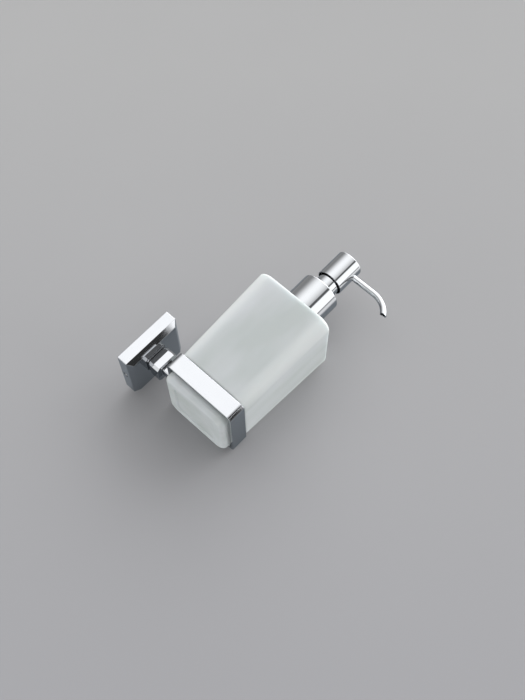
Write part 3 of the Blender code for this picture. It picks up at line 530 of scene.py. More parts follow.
low, high = span("rose_cover")
rose_half, rose_depth = high[0], -low[1]
edge_depth = rose_depth - ROSE_BEVEL_DEPTH
slope = math.hypot(ROSE_BEVEL_DEPTH, ROSE_BEVEL_INSET)
slope_shift = ROSE_SHEET * (slope - ROSE_BEVEL_INSET) / ROSE_BEVEL_DEPTH
inner_half, inner_front = rose_half - ROSE_SHEET, rose_depth - ROSE_SHEET
inner_inset = ROSE_BEVEL_INSET * (1 - slope_shift / ROSE_BEVEL_DEPTH)
outline = [
    (CAP_HALF, rose_depth), (rose_half - ROSE_BEVEL_INSET, rose_depth), (rose_half, edge_depth),
    (rose_half, 0), (inner_half, 0), (inner_half, inner_front - ROSE_BEVEL_DEPTH + slope_shift),
    (inner_half - inner_inset, inner_front), (CAP_HALF, inner_front),
]
outline = rounded(outline, CAST_EDGE, closed=False)
outline = np.column_stack([outline, np.full(len(outline), ROSE_CORNER)])
rose = piece("rose_cover_chrome", facing_wall(squared(outline)), cast_chrome, "holder", "rose_cover")

BOLT_HOLE = 2.8 * MM
carve(rose, facing_wall(pin(BOLT_HOLE, inner_front - MM, rose_depth + MM)))
grub_low, grub_high = span("rose_grub_screw")
grub_radius, grub_y = (grub_high[0] - grub_low[0]) / 2, (grub_low[1] + grub_high[1]) / 2
GRUB_PLAY = 0.15 * MM
carve(rose, upright(pin(grub_radius + GRUB_PLAY, -rose_half - MM, -inner_half + MM), grub_y))
print(f"rose {2 * rose_half / MM:.0f} mm square, {rose_depth / MM:.1f} mm deep")

# %% [markdown]
# ## Screws with a hexagon socket
#
# The set screw under the rose and the bolt inside it are turned, with a hexagon socket pressed
# into one end. One grid does both: each row says how far it is between a circle and a hexagon,
# and a hexagon's radius is cos 30 degrees over the cosine of the angle from its nearest flat.


# %% Set screw and tie bolt
def socket_screw(rows, steps=72):
    """Rows of (radius, height, share of hexagon), spun about the axis."""
    rows = np.asarray(rows, float)
    turn = np.arange(steps) * math.tau / steps
    hexagon = math.cos(math.pi / 6) / np.cos(np.mod(turn, math.pi / 3) - math.pi / 6)
    radius = rows[:, :1] * (1 + rows[:, 2:] * (hexagon - 1))
    return np.stack([radius * np.cos(turn), radius * np.sin(turn), rows[:, 1:2] + 0 * turn], axis=-1)


SOCKET_CHAMFER = 0.15 * MM


def screw_rows(shape, socket_radius, socket_depth):
    """Socket floor, socket wall and chamfer, then the turned shape from (radius, height) points."""
    end = shape[0][1]
    socket = [(socket_radius, end + socket_depth, 1), (socket_radius, end + SOCKET_CHAMFER, 1),
              (socket_radius + SOCKET_CHAMFER, end, 0)]
    return socket + [(radius, height, 0) for radius, height in shape]


GRUB_CHAMFER, GRUB_SOCKET, GRUB_SOCKET_DEPTH = 0.4 * MM, 1.15 * MM, 2.5 * MM
bottom, tip = grub_low[2], grub_high[2]
grub_shape = [(grub_radius - GRUB_CHAMFER, bottom), (grub_radius, bottom + GRUB_CHAMFER),
              (grub_radius, tip - 2 * GRUB_CHAMFER), (grub_radius - 2 * GRUB_CHAMFER, tip)]
grub = socket_screw(screw_rows(grub_shape, GRUB_SOCKET, GRUB_SOCKET_DEPTH))
piece("rose_grub_screw_turned", upright(grub, grub_y), stainless, "holder", "rose_grub_screw")

BOLT_RADIUS, BOLT_HEAD_HEIGHT, BOLT_EDGE = 2.5 * MM, 3.0 * MM, 0.3 * MM
BOLT_SOCKET, BOLT_SOCKET_DEPTH = 2.3 * MM, 2.0 * MM
low, high = span("tie_bolt")
wide, head_start, bolt_tip = high[0], -high[1], -low[1]
under_head = head_start + BOLT_HEAD_HEIGHT
bolt_shape = [(wide - BOLT_EDGE, head_start), (wide, head_start + BOLT_EDGE), (wide, under_head),
              (BOLT_RADIUS, under_head), (BOLT_RADIUS, bolt_tip - 2 * BOLT_EDGE),
              (BOLT_RADIUS - 2 * BOLT_EDGE, bolt_tip)]
bolt = socket_screw(screw_rows(bolt_shape, BOLT_SOCKET, BOLT_SOCKET_DEPTH))
piece("tie_bolt_turned", facing_wall(bolt), stainless, "holder", "tie_bolt")

PRESSED_EDGE = 0.1 * MM
low, high = span("tie_bolt_washer")
outline = rounded([(BOLT_HOLE, -high[1]), (high[0], -high[1]), (high[0], -low[1]), (BOLT_HOLE, -low[1])],
                  PRESSED_EDGE)
piece("tie_bolt_washer_pressed", facing_wall(spun(outline)), zinc_steel, "holder", "tie_bolt_washer",
      ring=True)
print(f"set screw M{2 * grub_radius / MM:.0f}, bolt M{2 * BOLT_RADIUS / MM:.0f}")

# %% [markdown]
# ## The bracket
#
# Behind the rose a strip of plated steel is screwed to the wall. Its two lips are folded, so its
# bends are round outside and inside. A folded sheet is one closed section pushed sideways.

# %% Wall bracket
BRACKET_SHEET, FOLD_OUTSIDE, FOLD_INSIDE, SHEARED_EDGE = 1.8 * MM, 2.0 * MM, 0.4 * MM, 0.25 * MM
low, high = span("wall_bracket")
width, half, lip = high[0], high[2], -low[1]
section = [(0, -half), (lip, -half), (lip, -half + BRACKET_SHEET), (BRACKET_SHEET, -half + BRACKET_SHEET),
           (BRACKET_SHEET, half - BRACKET_SHEET), (lip, half - BRACKET_SHEET), (lip, half), (0, half)]
lower_half = [FOLD_OUTSIDE, SHEARED_EDGE, SHEARED_EDGE, FOLD_INSIDE]
section = rounded(section, lower_half + lower_half[::-1])
stations = np.array([-width, -width + SUPPORT, width - SUPPORT, width])[:, None]
grid = np.stack([stations + 0 * section[:, 0], -section[:, 0] + 0 * stations,
                 section[:, 1] + 0 * stations], axis=-1)
bracket = piece("wall_bracket_folded", grid, zinc_steel, "holder", "wall_bracket")
HOLE_EDGE, SCREW_HOLE = 5.5 * MM, 2.3 * MM
for side in (-1, 1):
    hole = facing_wall(pin(SCREW_HOLE, -MM, BRACKET_SHEET + MM))
    carve(bracket, hole + np.array([side * (width - HOLE_EDGE), 0, 0]))
print(f"bracket {2 * width / MM:.0f} by {2 * half / MM:.0f} mm, lips {lip / MM:.1f} mm")

# %% [markdown]
# ## Post and ring
#
# The post is a square bar with cut edges on a slightly smaller foot, which leaves a dark groove
# at the rose. The ring is a square band. Its section, a rectangle with rounded edges, goes round
# a square whose corner radius is larger outside than inside. A short stub joins it to the post,
# and the two are cast as one, so the stub is joined on.

# %% Neck post
POST_BEVEL, FOOT_LENGTH, FOOT_INSET, END_INSET = 2.0 * MM, 1.2 * MM, 0.9 * MM, 1.2 * MM
low, high = span("neck_post")
start, end = -high[1], -low[1]
shoulder = start + FOOT_LENGTH
run = rounded([(FOOT_INSET + END_INSET, start), (FOOT_INSET, start), (FOOT_INSET, shoulder), (0, shoulder),
               (0, end), (END_INSET, end)], CAST_EDGE, closed=False)
grid = bar(bevelled_square(high[0], POST_BEVEL), CAST_EDGE, run)
post = piece("neck_post_chrome", facing_wall(grid), cast_chrome, "holder", "neck_post")
carve(post, facing_wall(pin(BOLT_HOLE, start - MM, end + MM)))
print(f"post {2 * high[0] / MM:.0f} mm square, {(end - start) / MM:.1f} mm long")

# %% Ring holder
RING_WALL, RING_CORNER, RING_INNER_CORNER = 2.8 * MM, 4.1 * MM, 3.0 * MM
STUB_HALF, STUB_BEVEL, STUB_LENGTH, STUB_EDGE = 5.2 * MM, 0.8 * MM, 9.2 * MM, 0.15 * MM
BOLT_GRIP = 6.3 * MM
low, high = span("ring_holder")
ring_half, ring_top = high[0], high[2]
section = [(ring_half, -ring_top, RING_CORNER), (ring_half, ring_top, RING_CORNER),
           (ring_half - RING_WALL, ring_top, RING_INNER_CORNER),
           (ring_half - RING_WALL, -ring_top, RING_INNER_CORNER)]
band = upright(squared(rounded(section, CAST_EDGE), steps=10))
ring = piece("ring_holder_chrome", band, cast_chrome, "holder", "ring_holder", ring=True)
stub_start = -high[1]
stub_end = stub_start + STUB_LENGTH + RING_WALL / 2
run = rounded([(STUB_BEVEL, stub_start), (0, stub_start), (0, stub_end)], CAST_EDGE, closed=False)
stub = bar(bevelled_square(STUB_HALF, STUB_BEVEL), STUB_EDGE, run)
carve(ring, facing_wall(stub), "UNION")
carve(ring, facing_wall(pin(BOLT_HOLE, stub_start - MM, stub_start + BOLT_GRIP)))
print(f"ring {2 * ring_half / MM:.1f} mm square, {len(ring.data.polygons)} faces")

# %% [markdown]
# ## The bottle
#
# The bottle hangs in the ring: its foot is narrower than the ring, and above the ring it steps
# out and flares a little up to a flat shoulder. The outline runs from the pushed-up middle of the
# base, over foot, seat, shoulder and neck, and down inside, so the glass has its real wall. Each
# point carries its own corner radius, and at the neck that radius equals the half side, which
# makes a circle. The neck's screw thread is a ridge that climbs one pitch in each turn, and it
# stays within the clearance of the cap.

# %% Glass bottle
SEAT_HALF, FOOT_HALF, SEAT_GAP = 31.05 * MM, 28.25 * MM, 0.3 * MM
FOOT_ROUND, STEP_ROUND, SEAT_ROUND, SHOULDER_ROUND = 4.0 * MM, 0.2 * MM, 1.2 * MM, 2.8 * MM
NECK_ROUND, INSIDE_ROUNDS = 1.2 * MM, np.array([0, 0.6, 0.5, 1.0, 3.0, 0.8, 0.8, 2.5, 0]) * MM
CORNER_FOOT, CORNER_SEAT, CORNER_TOP, CORNER_WALL = 8.0 * MM, 10.8 * MM, 9.7 * MM, 1.5 * MM
GLASS_WALL, GLASS_FLOOR = 3.6 * MM, 6.5 * MM
PUNT_DEPTH, PUNT_HALF, PUNT_CORNER, PUNT_ROUND = 1.2 * MM, 19.75 * MM, 4.8 * MM, 0.8 * MM
NECK_RADIUS, MOUTH_RADIUS, NECK_HEIGHT, NECK_ROWS = 13.5 * MM, 10.8 * MM, 14.0 * MM, 90
low, high = span("glass_bottle")
base, rim, shoulder_half = low[2], high[2], high[0]
shoulder_z = rim - NECK_HEIGHT
seat_z, floor = ring_top + SEAT_GAP, base + GLASS_FLOOR
inner_top = shoulder_z - GLASS_WALL
outside = rounded([
    (CAP_HALF, base + PUNT_DEPTH, PUNT_CORNER), (PUNT_HALF - PUNT_DEPTH, base + PUNT_DEPTH, PUNT_CORNER),
    (PUNT_HALF, base, PUNT_CORNER), (FOOT_HALF, base, CORNER_FOOT), (FOOT_HALF, seat_z, CORNER_FOOT),
    (SEAT_HALF, seat_z, CORNER_SEAT), (shoulder_half, shoulder_z, CORNER_TOP),
    (NECK_RADIUS, shoulder_z, NECK_RADIUS), (NECK_RADIUS, rim, NECK_RADIUS)],
    [0, PUNT_ROUND, PUNT_ROUND, FOOT_ROUND, STEP_ROUND, SEAT_ROUND, SHOULDER_ROUND, NECK_ROUND, 0],
    closed=False, steps=8)[:-1]
inside = rounded([
    (NECK_RADIUS, shoulder_z, NECK_RADIUS), (NECK_RADIUS, rim, NECK_RADIUS),
    (MOUTH_RADIUS, rim, MOUTH_RADIUS), (MOUTH_RADIUS, inner_top, MOUTH_RADIUS),
    (shoulder_half - GLASS_WALL, inner_top, CORNER_TOP - CORNER_WALL),
    (SEAT_HALF - GLASS_WALL, seat_z + GLASS_WALL, CORNER_SEAT - CORNER_WALL),
    (FOOT_HALF - GLASS_WALL, seat_z, CORNER_FOOT - CORNER_WALL),
    (FOOT_HALF - GLASS_WALL, floor, CORNER_FOOT - CORNER_WALL), (CAP_HALF, floor, PUNT_CORNER)],
    INSIDE_ROUNDS, closed=False, steps=6)[1:]
neck_rows = np.linspace(outside[-1], inside[0], NECK_ROWS)[1:-1]
grid = squared(np.concatenate([outside, neck_rows, inside]), steps=20, support=0)

THREAD_PITCH, THREAD_RIDGE, THREAD_WIDTH, THREAD_CREST = 3.0 * MM, 0.2 * MM, 1.3 * MM, 1.4
THREAD_START, THREAD_END = 2.0 * MM, 11.5 * MM      # above the shoulder
turn = np.arctan2(grid[..., 1], grid[..., 0]) / math.tau
height = grid[..., 2] - shoulder_z
from_ridge = np.mod(height - turn * THREAD_PITCH, THREAD_PITCH) - THREAD_PITCH / 2
ridge = np.clip(THREAD_CREST * (1 - np.abs(from_ridge) / (THREAD_WIDTH / 2)), 0, 1)
ends = np.clip((height - THREAD_START) / MM, 0, 1) * np.clip((THREAD_END - height) / MM, 0, 1)
on_neck = np.zeros(len(grid))
on_neck[len(outside):len(outside) + len(neck_rows)] = 1
swell = 1 + on_neck[:, None] * ridge * ends * THREAD_RIDGE / NECK_RADIUS
grid[..., :2] *= swell[..., None]
bottle = piece("glass_bottle_etched", upright(grid), frosted, "bottle", "glass_bottle")
print(f"bottle {2 * shoulder_half / MM:.1f} mm wide, {(rim - base) / MM:.0f} mm high, "
      f"{len(bottle.data.polygons)} faces")

# %% [markdown]
# ## The cap and its sleeve
#
# A chrome cap hides the plastic screw cap over the neck. The sleeve stands in its top, and the
# head slides down over the sleeve. All are turned, so their outlines are spun.

# %% Cap, insert, sleeve and gasket
SHEET, SLEEVE_TUBE, SLEEVE_FLANGE, PLAY = 1.0 * MM, 9.15 * MM, 1.5 * MM, 0.3 * MM
CAP_HOLE, FINE = 9.27 * MM, 128         # FINE: steps round the pieces that show most
radius, bottom, top = turned_size("collar_shell")
turned("collar_shell_chrome",
       [(radius - SHEET, bottom), (radius, bottom), (radius, top), (CAP_HOLE, top), (CAP_HOLE, top - SHEET),
        (radius - SHEET, top - SHEET)],
       [0.2, 0.25, 0.7, 0.12, 0.12, 0.3], turned_chrome, "collar", "collar_shell", FINE)

flange, bottom, top = turned_size("guide_sleeve")
turned("guide_sleeve_chrome",
       [(SLEEVE_TUBE - SHEET, bottom), (flange, bottom), (flange, bottom + SLEEVE_FLANGE),
        (SLEEVE_TUBE, bottom + SLEEVE_FLANGE), (SLEEVE_TUBE, top), (SLEEVE_TUBE - SHEET, top)],
       [0.12, 0.2, 0.2, 0.12, 0.25, 0.25], turned_chrome, "collar", "guide_sleeve", FINE)

INSERT_BORE, INSERT_TOP, CYLINDER_HOLE = 13.8 * MM, 1.7 * MM, 6.5 * MM
radius, bottom, top = turned_size("collar_insert")
turned("collar_insert_moulded",
       [(INSERT_BORE, bottom), (radius, bottom), (radius, top), (CYLINDER_HOLE, top),
        (CYLINDER_HOLE, top - INSERT_TOP), (INSERT_BORE, top - INSERT_TOP)],
       [0.3, 0.2, 0.8, 0.2, 0.2, 0.3], white_plastic, "collar", "collar_insert")

GASKET_HOLE = 11.0 * MM
radius, bottom, top = turned_size("bottle_gasket")
turned("bottle_gasket_moulded",
       [(GASKET_HOLE, bottom), (radius, bottom), (radius, top), (GASKET_HOLE, top)],
       0.35, silicone, "pump", "bottle_gasket")

# %% [markdown]
# ## The pump's body
#
# Under the cap hangs the pump: a cylinder with a flange that rests on the neck, a narrower valve
# chamber and the socket for the dip tube. It shows when the pump is drawn out of the bottle. The
# tube's lower end is cut at a slant, so that it can't seal itself against the floor.

# %% Cylinder, its cap and the dip tube
CYLINDER_RADIUS, CYLINDER_BORE = 6.2 * MM, 5.2 * MM
VALVE_RADIUS, VALVE_BORE, VALVE_PORT, VALVE_LENGTH = 4.2 * MM, 3.0 * MM, 1.5 * MM, 4.8 * MM
TUBE_HOLE, SOCKET_LENGTH, FLANGE_HEIGHT = 2.6 * MM, 6.5 * MM, 1.2 * MM
TAPER_BELOW, TAPER_ABOVE = 4.0 * MM, 2.0 * MM      # under the spring's seat
gasket_top = turned_size("bottle_gasket")[2]
flange, mouth, top = turned_size("pump_cylinder")
flange_z = gasket_top + PLAY
socket_top = mouth + SOCKET_LENGTH
seat = turned_size("return_spring")[1] - PLAY
ball_seat = seat - VALVE_LENGTH
turned("pump_cylinder_moulded", [
    (VALVE_RADIUS, mouth), (VALVE_RADIUS, seat - TAPER_BELOW), (CYLINDER_RADIUS, seat - TAPER_ABOVE),
    (CYLINDER_RADIUS, flange_z), (flange, flange_z), (flange, flange_z + FLANGE_HEIGHT),
    (CYLINDER_RADIUS, flange_z + FLANGE_HEIGHT), (CYLINDER_RADIUS, top), (CYLINDER_BORE, top),
    (CYLINDER_BORE, seat), (VALVE_BORE, seat), (VALVE_BORE, ball_seat),
    (VALVE_PORT, ball_seat - VALVE_BORE + VALVE_PORT), (VALVE_PORT, socket_top), (TUBE_HOLE, socket_top),
    (TUBE_HOLE, mouth)],
    [0.3, 0.5, 0.5, 0.3] + [0.2] * 12, white_plastic, "pump", "pump_cylinder")

CAP_BORE, SPIGOT, CAP_TOP = 3.4 * MM, 4.9 * MM, 1.7 * MM
radius, bottom, top = turned_size("cylinder_cap")
turned("cylinder_cap_moulded",
       [(CAP_BORE, bottom), (SPIGOT, bottom), (SPIGOT, top - CAP_TOP), (radius, top - CAP_TOP),
        (radius, top), (CAP_BORE, top)],
       0.2, white_plastic, "pump", "cylinder_cap")

TUBE_BORE, TUBE_EDGE, SLANT = 1.5 * MM, 0.15 * MM, 2.4 * MM
radius, foot, top = turned_size("dip_tube")
grid = spun(rounded([(TUBE_BORE, foot), (radius, foot), (radius, top), (TUBE_BORE, top)], TUBE_EDGE), 64)
at_foot = grid[..., 2] < foot + MM
grid[..., 2] += np.where(at_foot, SLANT * (1 + grid[..., 0] / radius) / 2, 0)
piece("dip_tube_cut", upright(grid), milky_plastic, "pump", "dip_tube", ring=True)

# %% [markdown]
# ## Valve balls and spring
#
# The two valves are steel balls. The spring is a wire carried along a helix. Its end turns lie
# close together, as on a real compression spring, and the turns between share the rest of the
# height.

# %% Balls and return spring
BALL_STEPS = 32
polar = np.linspace(0, math.pi, BALL_STEPS + 1)
for node, body in (("inlet_ball", "lower_valve"), ("outlet_ball", "upper_valve")):
    low, high = span(node)
    radius, middle = (high[2] - low[2]) / 2, (high[2] + low[2]) / 2
    ball = spun(np.column_stack([radius * np.sin(polar), middle - radius * np.cos(polar)]), 64)
    ball[0, :, :2] = ball[-1, :, :2] = 0
    piece(node + "_polished", upright(ball), stainless, body, node)

WIRE, TURNS, END_TURNS, STEPS_PER_TURN = 0.45 * MM, 9.0, 1.0, 48
END_PITCH, WIRE_SIDES = 2.2 * WIRE, 12
outer, bottom, top = turned_size("return_spring")
coil = outer - WIRE
first, last = bottom + WIRE, top - WIRE
end_rise = END_PITCH * END_TURNS
turns = np.linspace(0, TURNS, int(TURNS * STEPS_PER_TURN) + 1)
centre_z = np.interp(turns, [0, END_TURNS, TURNS - END_TURNS, TURNS],
                     [first, first + end_rise, last - end_rise, last])
angle = turns * math.tau
path = np.stack([coil * np.cos(angle), coil * np.sin(angle), centre_z], axis=-1)
tangent = unit(np.gradient(path, axis=0))
outward = np.stack([np.cos(angle), np.sin(angle), 0 * angle], axis=-1)
outward = unit(outward - (outward * tangent).sum(-1, keepdims=True) * tangent)
across = np.cross(tangent, outward)
around = (np.arange(WIRE_SIDES) * math.tau / WIRE_SIDES)[None, :, None]
grid = path[:, None] + WIRE * (np.cos(around) * outward[:, None] + np.sin(around) * across[:, None])
spring = piece("return_spring_wound", upright(grid), stainless, "pump", "return_spring")
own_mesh(spring)
print(f"spring of {TURNS:.0f} turns, {(top - bottom) / MM:.1f} mm long, {len(spring.data.polygons)} faces")

# %% [markdown]
# ## Rod, seal and head
#
# The hollow rod carries the cup seal between two flanges and ends in the plastic core of the
# head. The chrome head is a thin cup over that core, open below, where a dark gap shows round the
# sleeve.

# %% Rod and seal
ROD_RADIUS, ROD_BORE, ROD_FLANGE = 3.1 * MM, 1.4 * MM, 1.0 * MM
SEAL_LIP, SEAL_CONE, SEAL_WAIST = 1.4 * MM, 0.6 * MM, 4.3 * MM
flange, bottom, top = turned_size("piston_rod")
seal, seal_bottom, seal_top = turned_size("piston_seal")
low_flange, high_flange = seal_bottom - PLAY, seal_top + PLAY
turned("piston_rod_moulded", [
    (ROD_BORE, bottom), (ROD_RADIUS, bottom), (ROD_RADIUS, low_flange - ROD_FLANGE),
    (flange, low_flange - ROD_FLANGE), (flange, low_flange), (ROD_RADIUS, low_flange),
    (ROD_RADIUS, high_flange), (flange, high_flange), (flange, high_flange + ROD_FLANGE),
    (ROD_RADIUS, high_flange + ROD_FLANGE), (ROD_RADIUS, top), (ROD_BORE, top)],
    0.15, white_plastic, "plunger", "piston_rod")
bore = ROD_RADIUS + PLAY
turned("piston_seal_moulded", [
    (bore, seal_bottom), (seal, seal_bottom), (seal, seal_bottom + SEAL_LIP),
    (SEAL_WAIST, seal_bottom + SEAL_LIP + SEAL_CONE), (SEAL_WAIST, seal_top - SEAL_LIP - SEAL_CONE),
    (seal, seal_top - SEAL_LIP), (seal, seal_top), (bore, seal_top)],
    0.15, milky_plastic, "plunger", "piston_seal")

# %% Head core and shell
CORE_SOCKET, CHAMBER_RADIUS, CHAMBER_HEIGHT = 3.4 * MM, 2.4 * MM, 6.0 * MM
CORE_ROUNDS = np.array([0, 0.4, 0.3, 0.3, 0.15, 0.15, 0.3, 0]) * MM
HEAD_SHEET, HEAD_ROUNDS = 0.6 * MM, np.array([0, 0.7, 0.2, 0.2, 0.2, 0]) * MM
SPOUT_RADIUS, SPOUT_BORE = 2.5 * MM, 1.8 * MM
SPOUT_BELOW_TOP, SPOUT_GRIP = 8.2 * MM, 4.5 * MM
rod_top = turned_size("piston_rod")[2]
core_radius, bottom, top = turned_size("head_core")
outline = rounded([(0, top), (core_radius, top), (core_radius, bottom), (CORE_SOCKET, bottom),
                   (CORE_SOCKET, rod_top + PLAY), (CHAMBER_RADIUS, rod_top + PLAY),
                   (CHAMBER_RADIUS, rod_top + CHAMBER_HEIGHT), (0, rod_top + CHAMBER_HEIGHT)],
                  CORE_ROUNDS, closed=False)
core = piece("head_core_moulded", upright(spun(outline)), white_plastic, "head", "head_core")
head_radius, head_bottom, head_top = turned_size("head_shell")
spout_z = head_top - SPOUT_BELOW_TOP
spout_start = core_radius - SPOUT_GRIP


def sideways(radius, near, far):
    """Grid of a round pin along -Y at the spout's height; near and far count from the axis."""
    return facing_wall(pin(radius, near - AXIS, far - AXIS)) + np.array([0, 0, spout_z])


carve(core, sideways(SPOUT_RADIUS + PLAY, spout_start - PLAY, core_radius + MM))
carve(core, sideways(SPOUT_BORE, 0, spout_start))
inner, ceiling = head_radius - HEAD_SHEET, head_top - HEAD_SHEET
outline = rounded([(0, head_top), (head_radius, head_top), (head_radius, head_bottom), (inner, head_bottom),
                   (inner, ceiling), (0, ceiling)], HEAD_ROUNDS, closed=False)
shell = piece("head_shell_chrome", upright(spun(outline, FINE)), turned_chrome, "head", "head_shell")
SOLDER_GAP = 0.04 * MM
carve(shell, sideways(SPOUT_RADIUS + SOLDER_GAP, spout_start, head_radius + MM))
print(f"head {2 * head_radius / MM:.1f} mm across, {len(shell.data.polygons)} faces")

# %% [markdown]
# ## The spout
#
# The spout is a drawn tube: straight out of the head, then bent down, and cut off level. Its
# centre line is a straight run and an arc. At the last station every point slides along the
# tube's direction until it reaches the level of the cut, outside and inside alike.

# %% Spout tube
SPOUT_STRAIGHT, BEND_RADIUS, BEND, BEND_STEPS = 31.2 * MM, 20.0 * MM, math.radians(58.0), 40
RIM_ROUND = 0.12 * MM
lean = np.concatenate([[0, 0], np.linspace(0, BEND, BEND_STEPS + 1)])
drop = BEND_RADIUS * (1 - np.cos(lean))
forward = SPOUT_STRAIGHT + BEND_RADIUS * np.sin(lean)
forward[:2] = spout_start, SPOUT_STRAIGHT - SUPPORT
centre = np.stack([0 * forward, -forward, spout_z - drop], axis=-1)
heading = np.stack([0 * lean, -np.cos(lean), -np.sin(lean)], axis=-1)
upward = np.stack([0 * lean, -np.sin(lean), np.cos(lean)], axis=-1)
around = np.arange(64) * math.tau / 64


def tube_rows(radius, short=0.0):
    """Rows of a tube round the centre line, with its end level, and this much short of the cut."""
    ring_offset = radius * (np.cos(around)[None, :, None] * np.array([1.0, 0, 0])
                            + np.sin(around)[None, :, None] * upward[:, None])
    rows = centre[:, None] + ring_offset
    level = centre[-1, 2] + short
    rows[-1] += heading[-1] * ((level - rows[-1, :, 2]) / heading[-1, 2])[:, None]
    return rows


grid = np.concatenate([tube_rows(SPOUT_RADIUS, RIM_ROUND), tube_rows(SPOUT_RADIUS - RIM_ROUND)[-1:],
                       tube_rows(SPOUT_BORE + RIM_ROUND)[-1:], tube_rows(SPOUT_BORE, RIM_ROUND)[::-1]])
piece("spout_tube_chrome", upright(grid), turned_chrome, "head", "spout_tube", ring=True)

# %% [markdown]
# ## The table
#
# The dispenser lies on its side on a pale table. It rests on the bottle's shoulder and on the
# ring, so the table leans a little against the object's axes. It shows the shadows that fall on
# it, and the chrome mirrors it, a little darker there because the real table's far parts get less
# light. But it casts no shadow and sends back no light, and it is clear from behind, towards its
# edges and at a flat angle. So every side of the object can be seen.

# %% Table
TABLE_REACH, TABLE_CLEAR = 0.9, 0.25 * MM
MOTTLE = 70.0            # mm
AWAY, DARK_END, LIGHT_END = (0.0, 0.68, 0.73), -0.35, 0.3     # painted light falloff: the board's colour gets lighter along AWAY, where more light falls
FADE_FROM, FADE_TO = 0.55, 0.85         # metres from the middle
FLAT_FROM, FLAT_TO = 0.45, 0.65         # Layer Weight's Facing: 0 seen square on, 1 seen edge on
lean_table = (shoulder_half - ring_half) / (shoulder_z + ring_top)
spread = TABLE_REACH * np.array([(-1, -1), (1, -1), (1, 1), (-1, 1)])
table_x = shoulder_half + (spread[:, 1] - shoulder_z) * lean_table + TABLE_CLEAR
corners = np.column_stack([table_x, spread[:, 0] + AXIS, spread[:, 1]])
mesh = bpy.data.meshes.new("table")
mesh.from_pydata(corners.tolist(), [], [(3, 2, 1, 0)])
table = bpy.data.objects.new("table", mesh)
bpy.context.scene.collection.objects.link(table)
table.visible_diffuse = table.visible_transmission = table.visible_shadow = False

board, tree, shader = finish("Table board, painted matt grey", None, Roughness=0.85,
                             Specular_IOR_Level=0.2)
place = add(tree, "TexCoord").outputs["Object"]
mottle = add(tree, "TexNoise", {"Vector": place, "Scale": 1 / (MOTTLE * MM), "Detail": 3.0})
spots = add(tree, "MixRGB", {"Fac": mottle, "Color1": linear("#9D9D9D"), "Color2": linear("#9F9F9F")})
# painted light falloff: the board is painted darker towards one end, where less light falls, over its
# random mottle
along = add(tree, "VectorMath", {0: place, 1: AWAY}, operation="DOT_PRODUCT")
painted_falloff_shade = add(tree, "MapRange", {"Value": along.outputs["Value"], "From Min": DARK_END,
                                  "From Max": LIGHT_END, "To Min": 1.0, "To Max": 0.0})
paint_and_painted_falloff = add(tree, "MixRGB", {"Fac": painted_falloff_shade, "Color1": spots, "Color2": linear("#939396")})
mirrored = add(tree, "LightPath").outputs["Is Glossy Ray"]
toned = add(tree, "MixRGB", {"Fac": mirrored, "Color1": paint_and_painted_falloff, "Color2": linear("#7B8085")})
tree.links.new(toned.outputs["Color"], shader.inputs["Base Color"])
from_middle = add(tree, "VectorMath", {0: place}, operation="LENGTH")
fade = add(tree, "MapRange", {"Value": from_middle.outputs["Value"], "From Min": FADE_FROM,
                              "From Max": FADE_TO},
           interpolation_type="SMOOTHSTEP")
behind = add(tree, "NewGeometry").outputs["Backfacing"]
away = add(tree, "Math", {0: fade, 1: behind}, operation="MAXIMUM")
grazing = add(tree, "MapRange", {"Value": add(tree, "LayerWeight").outputs["Facing"],
                                 "From Min": FLAT_FROM, "From Max": FLAT_TO})
hidden = add(tree, "Math", {0: away, 1: grazing}, operation="MAXIMUM")
clear = add(tree, "BsdfTransparent")
mixed = add(tree, "MixShader", {0: hidden, 1: shader, 2: clear})
tree.links.new(mixed.outputs["Shader"], tree.nodes["Material Output"].inputs["Surface"])
table.data.materials.append(board)
print(f"table leans {math.degrees(math.atan(lean_table)):.1f} degrees")

# %% [markdown]
# ## The studio
#
# Chrome shows nothing of its own, only the room. So the light is the room: a pale studio drawn by
# direction, with large softboxes, the dark gaps between them and the dark corner where the
# camera stands. Area lights could do it, but each would need its own reflector and flag. A
# direction is an angle round the pump's axis, 0 straight up from the table and positive towards
# the wall, and a height towards the pump. Each panel fades in and out between two angles.

# %% Studio light
ROOM_LEVEL, LOW_LEVEL, LOW_FROM, LOW_FULL = 0.38, 1.3, -25, -50
PANELS = (
    # name, angle round the axis (starts, full, full, ends), height (the same), level; degrees
    ("side wall", (-176, -132, -102, -95), (10, 20, 91, 92), 1.2),
    ("back softbox, left half", (125, 150, 191, 192), (-20, 10, 50, 75), 1.6),
    ("back softbox, right half", (-192, -191, -155, -140), (-20, 10, 50, 75), 1.6),
    ("main softbox", (-62, 14, 22, 84), (-25, 5, 91, 92), 1.8),
    ("ceiling", (-80, -30, 80, 120), (32, 44, 91, 92), 4.0),
    ("front strip", (-150, -120, -75, -55), (26, 38, 91, 92), 3.6),
    ("gap between softboxes", (-46, -41, -34, -29), (13, 17, 30, 36), 0.18),
    ("long softbox", (-93, -91, -48, -46), (14.6, 14.9, 30, 40), 1.9),
    ("camera corner", (-132, -96, -38, 20), (-16, -6, 14.5, 14.9), 0.05),
    ("slit beside the camera", (-50, -49, -46.5, -45.5), (-16, -6, 30, 40), 1.8),
)
world = bpy.data.worlds.new("studio")
bpy.context.scene.world = world
world.use_nodes = True
tree = world.node_tree
tree.nodes.clear()
axes = add(tree, "SeparateXYZ", {0: add(tree, "TexCoord").outputs["Generated"]})
over = add(tree, "Math", {0: axes.outputs["X"], 1: -1.0}, operation="MULTIPLY")
round_axis = add(tree, "Math", {0: axes.outputs["Y"], 1: over}, operation="ARCTAN2")
up_angle = add(tree, "Math", {0: axes.outputs["Z"]}, operation="ARCSINE")


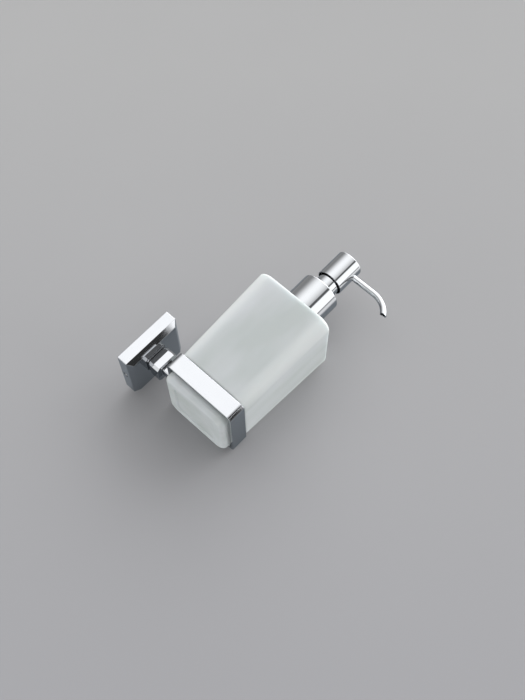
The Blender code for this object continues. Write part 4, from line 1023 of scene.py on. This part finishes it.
def ramp(value, start, end):
    """0 up to the start angle and 1 past the end angle, in degrees, with a smooth step between."""
    return add(tree, "MapRange", {"Value": value, "From Min": math.radians(start),
                                  "From Max": math.radians(end)}, interpolation_type="SMOOTHSTEP")


level = add(tree, "Mix", {0: ramp(up_angle, LOW_FROM, LOW_FULL), 2: ROOM_LEVEL, 3: LOW_LEVEL})
for name, sides, heights, strength in PANELS:
    share = 1.0
    for angle_node, (start, full, end_full, end) in ((round_axis, sides), (up_angle, heights)):
        for edge in ((start, full), (end, end_full)):
            share = add(tree, "Math", {0: share, 1: ramp(angle_node, *edge)}, operation="MULTIPLY")
    level = add(tree, "Mix", {0: share, 2: level, 3: strength}, label=name)
room = add(tree, "Background", {"Color": linear("#FEFEFF"), "Strength": level})
backdrop = add(tree, "Background", {"Color": linear("#B2B2B4"), "Strength": 1.0})
seen = add(tree, "LightPath").outputs["Is Camera Ray"]
mixed = add(tree, "MixShader", {0: seen, 1: room, 2: backdrop})
add(tree, "OutputWorld", {"Surface": mixed})
bpy.context.scene.view_settings.view_transform = "Standard"
print("studio panels:", [panel[0] for panel in PANELS])

# %% [markdown]
# ## The camera
#
# The camera looks down on the table from beyond the bottle's foot, so that the wall side lies to
# the left and the pump to the upper right.

# %% Camera
CAMERA_PLACE = Vector((-0.663375, -0.278465, -0.165672))
CAMERA_FORWARD = Vector((0.90629, 0.29203, 0.30554))
CAMERA_DOWN = Vector((0.42259, -0.61357, -0.66705))
lens = bpy.data.cameras.new("camera")
lens.lens, lens.sensor_width = 50.5, 36.0
lens.clip_start = 0.01
camera = bpy.data.objects.new("camera", lens)
bpy.context.scene.collection.objects.link(camera)
right = CAMERA_DOWN.cross(CAMERA_FORWARD).normalized()
down = CAMERA_FORWARD.cross(right).normalized()
facing = Matrix((right, -down, -CAMERA_FORWARD.normalized())).transposed().to_4x4()
camera.matrix_world = Matrix.Translation(CAMERA_PLACE) @ facing
bpy.context.scene.camera = camera
print(f"camera {CAMERA_PLACE.length:.2f} m from the wall's middle, {lens.lens} mm lens")
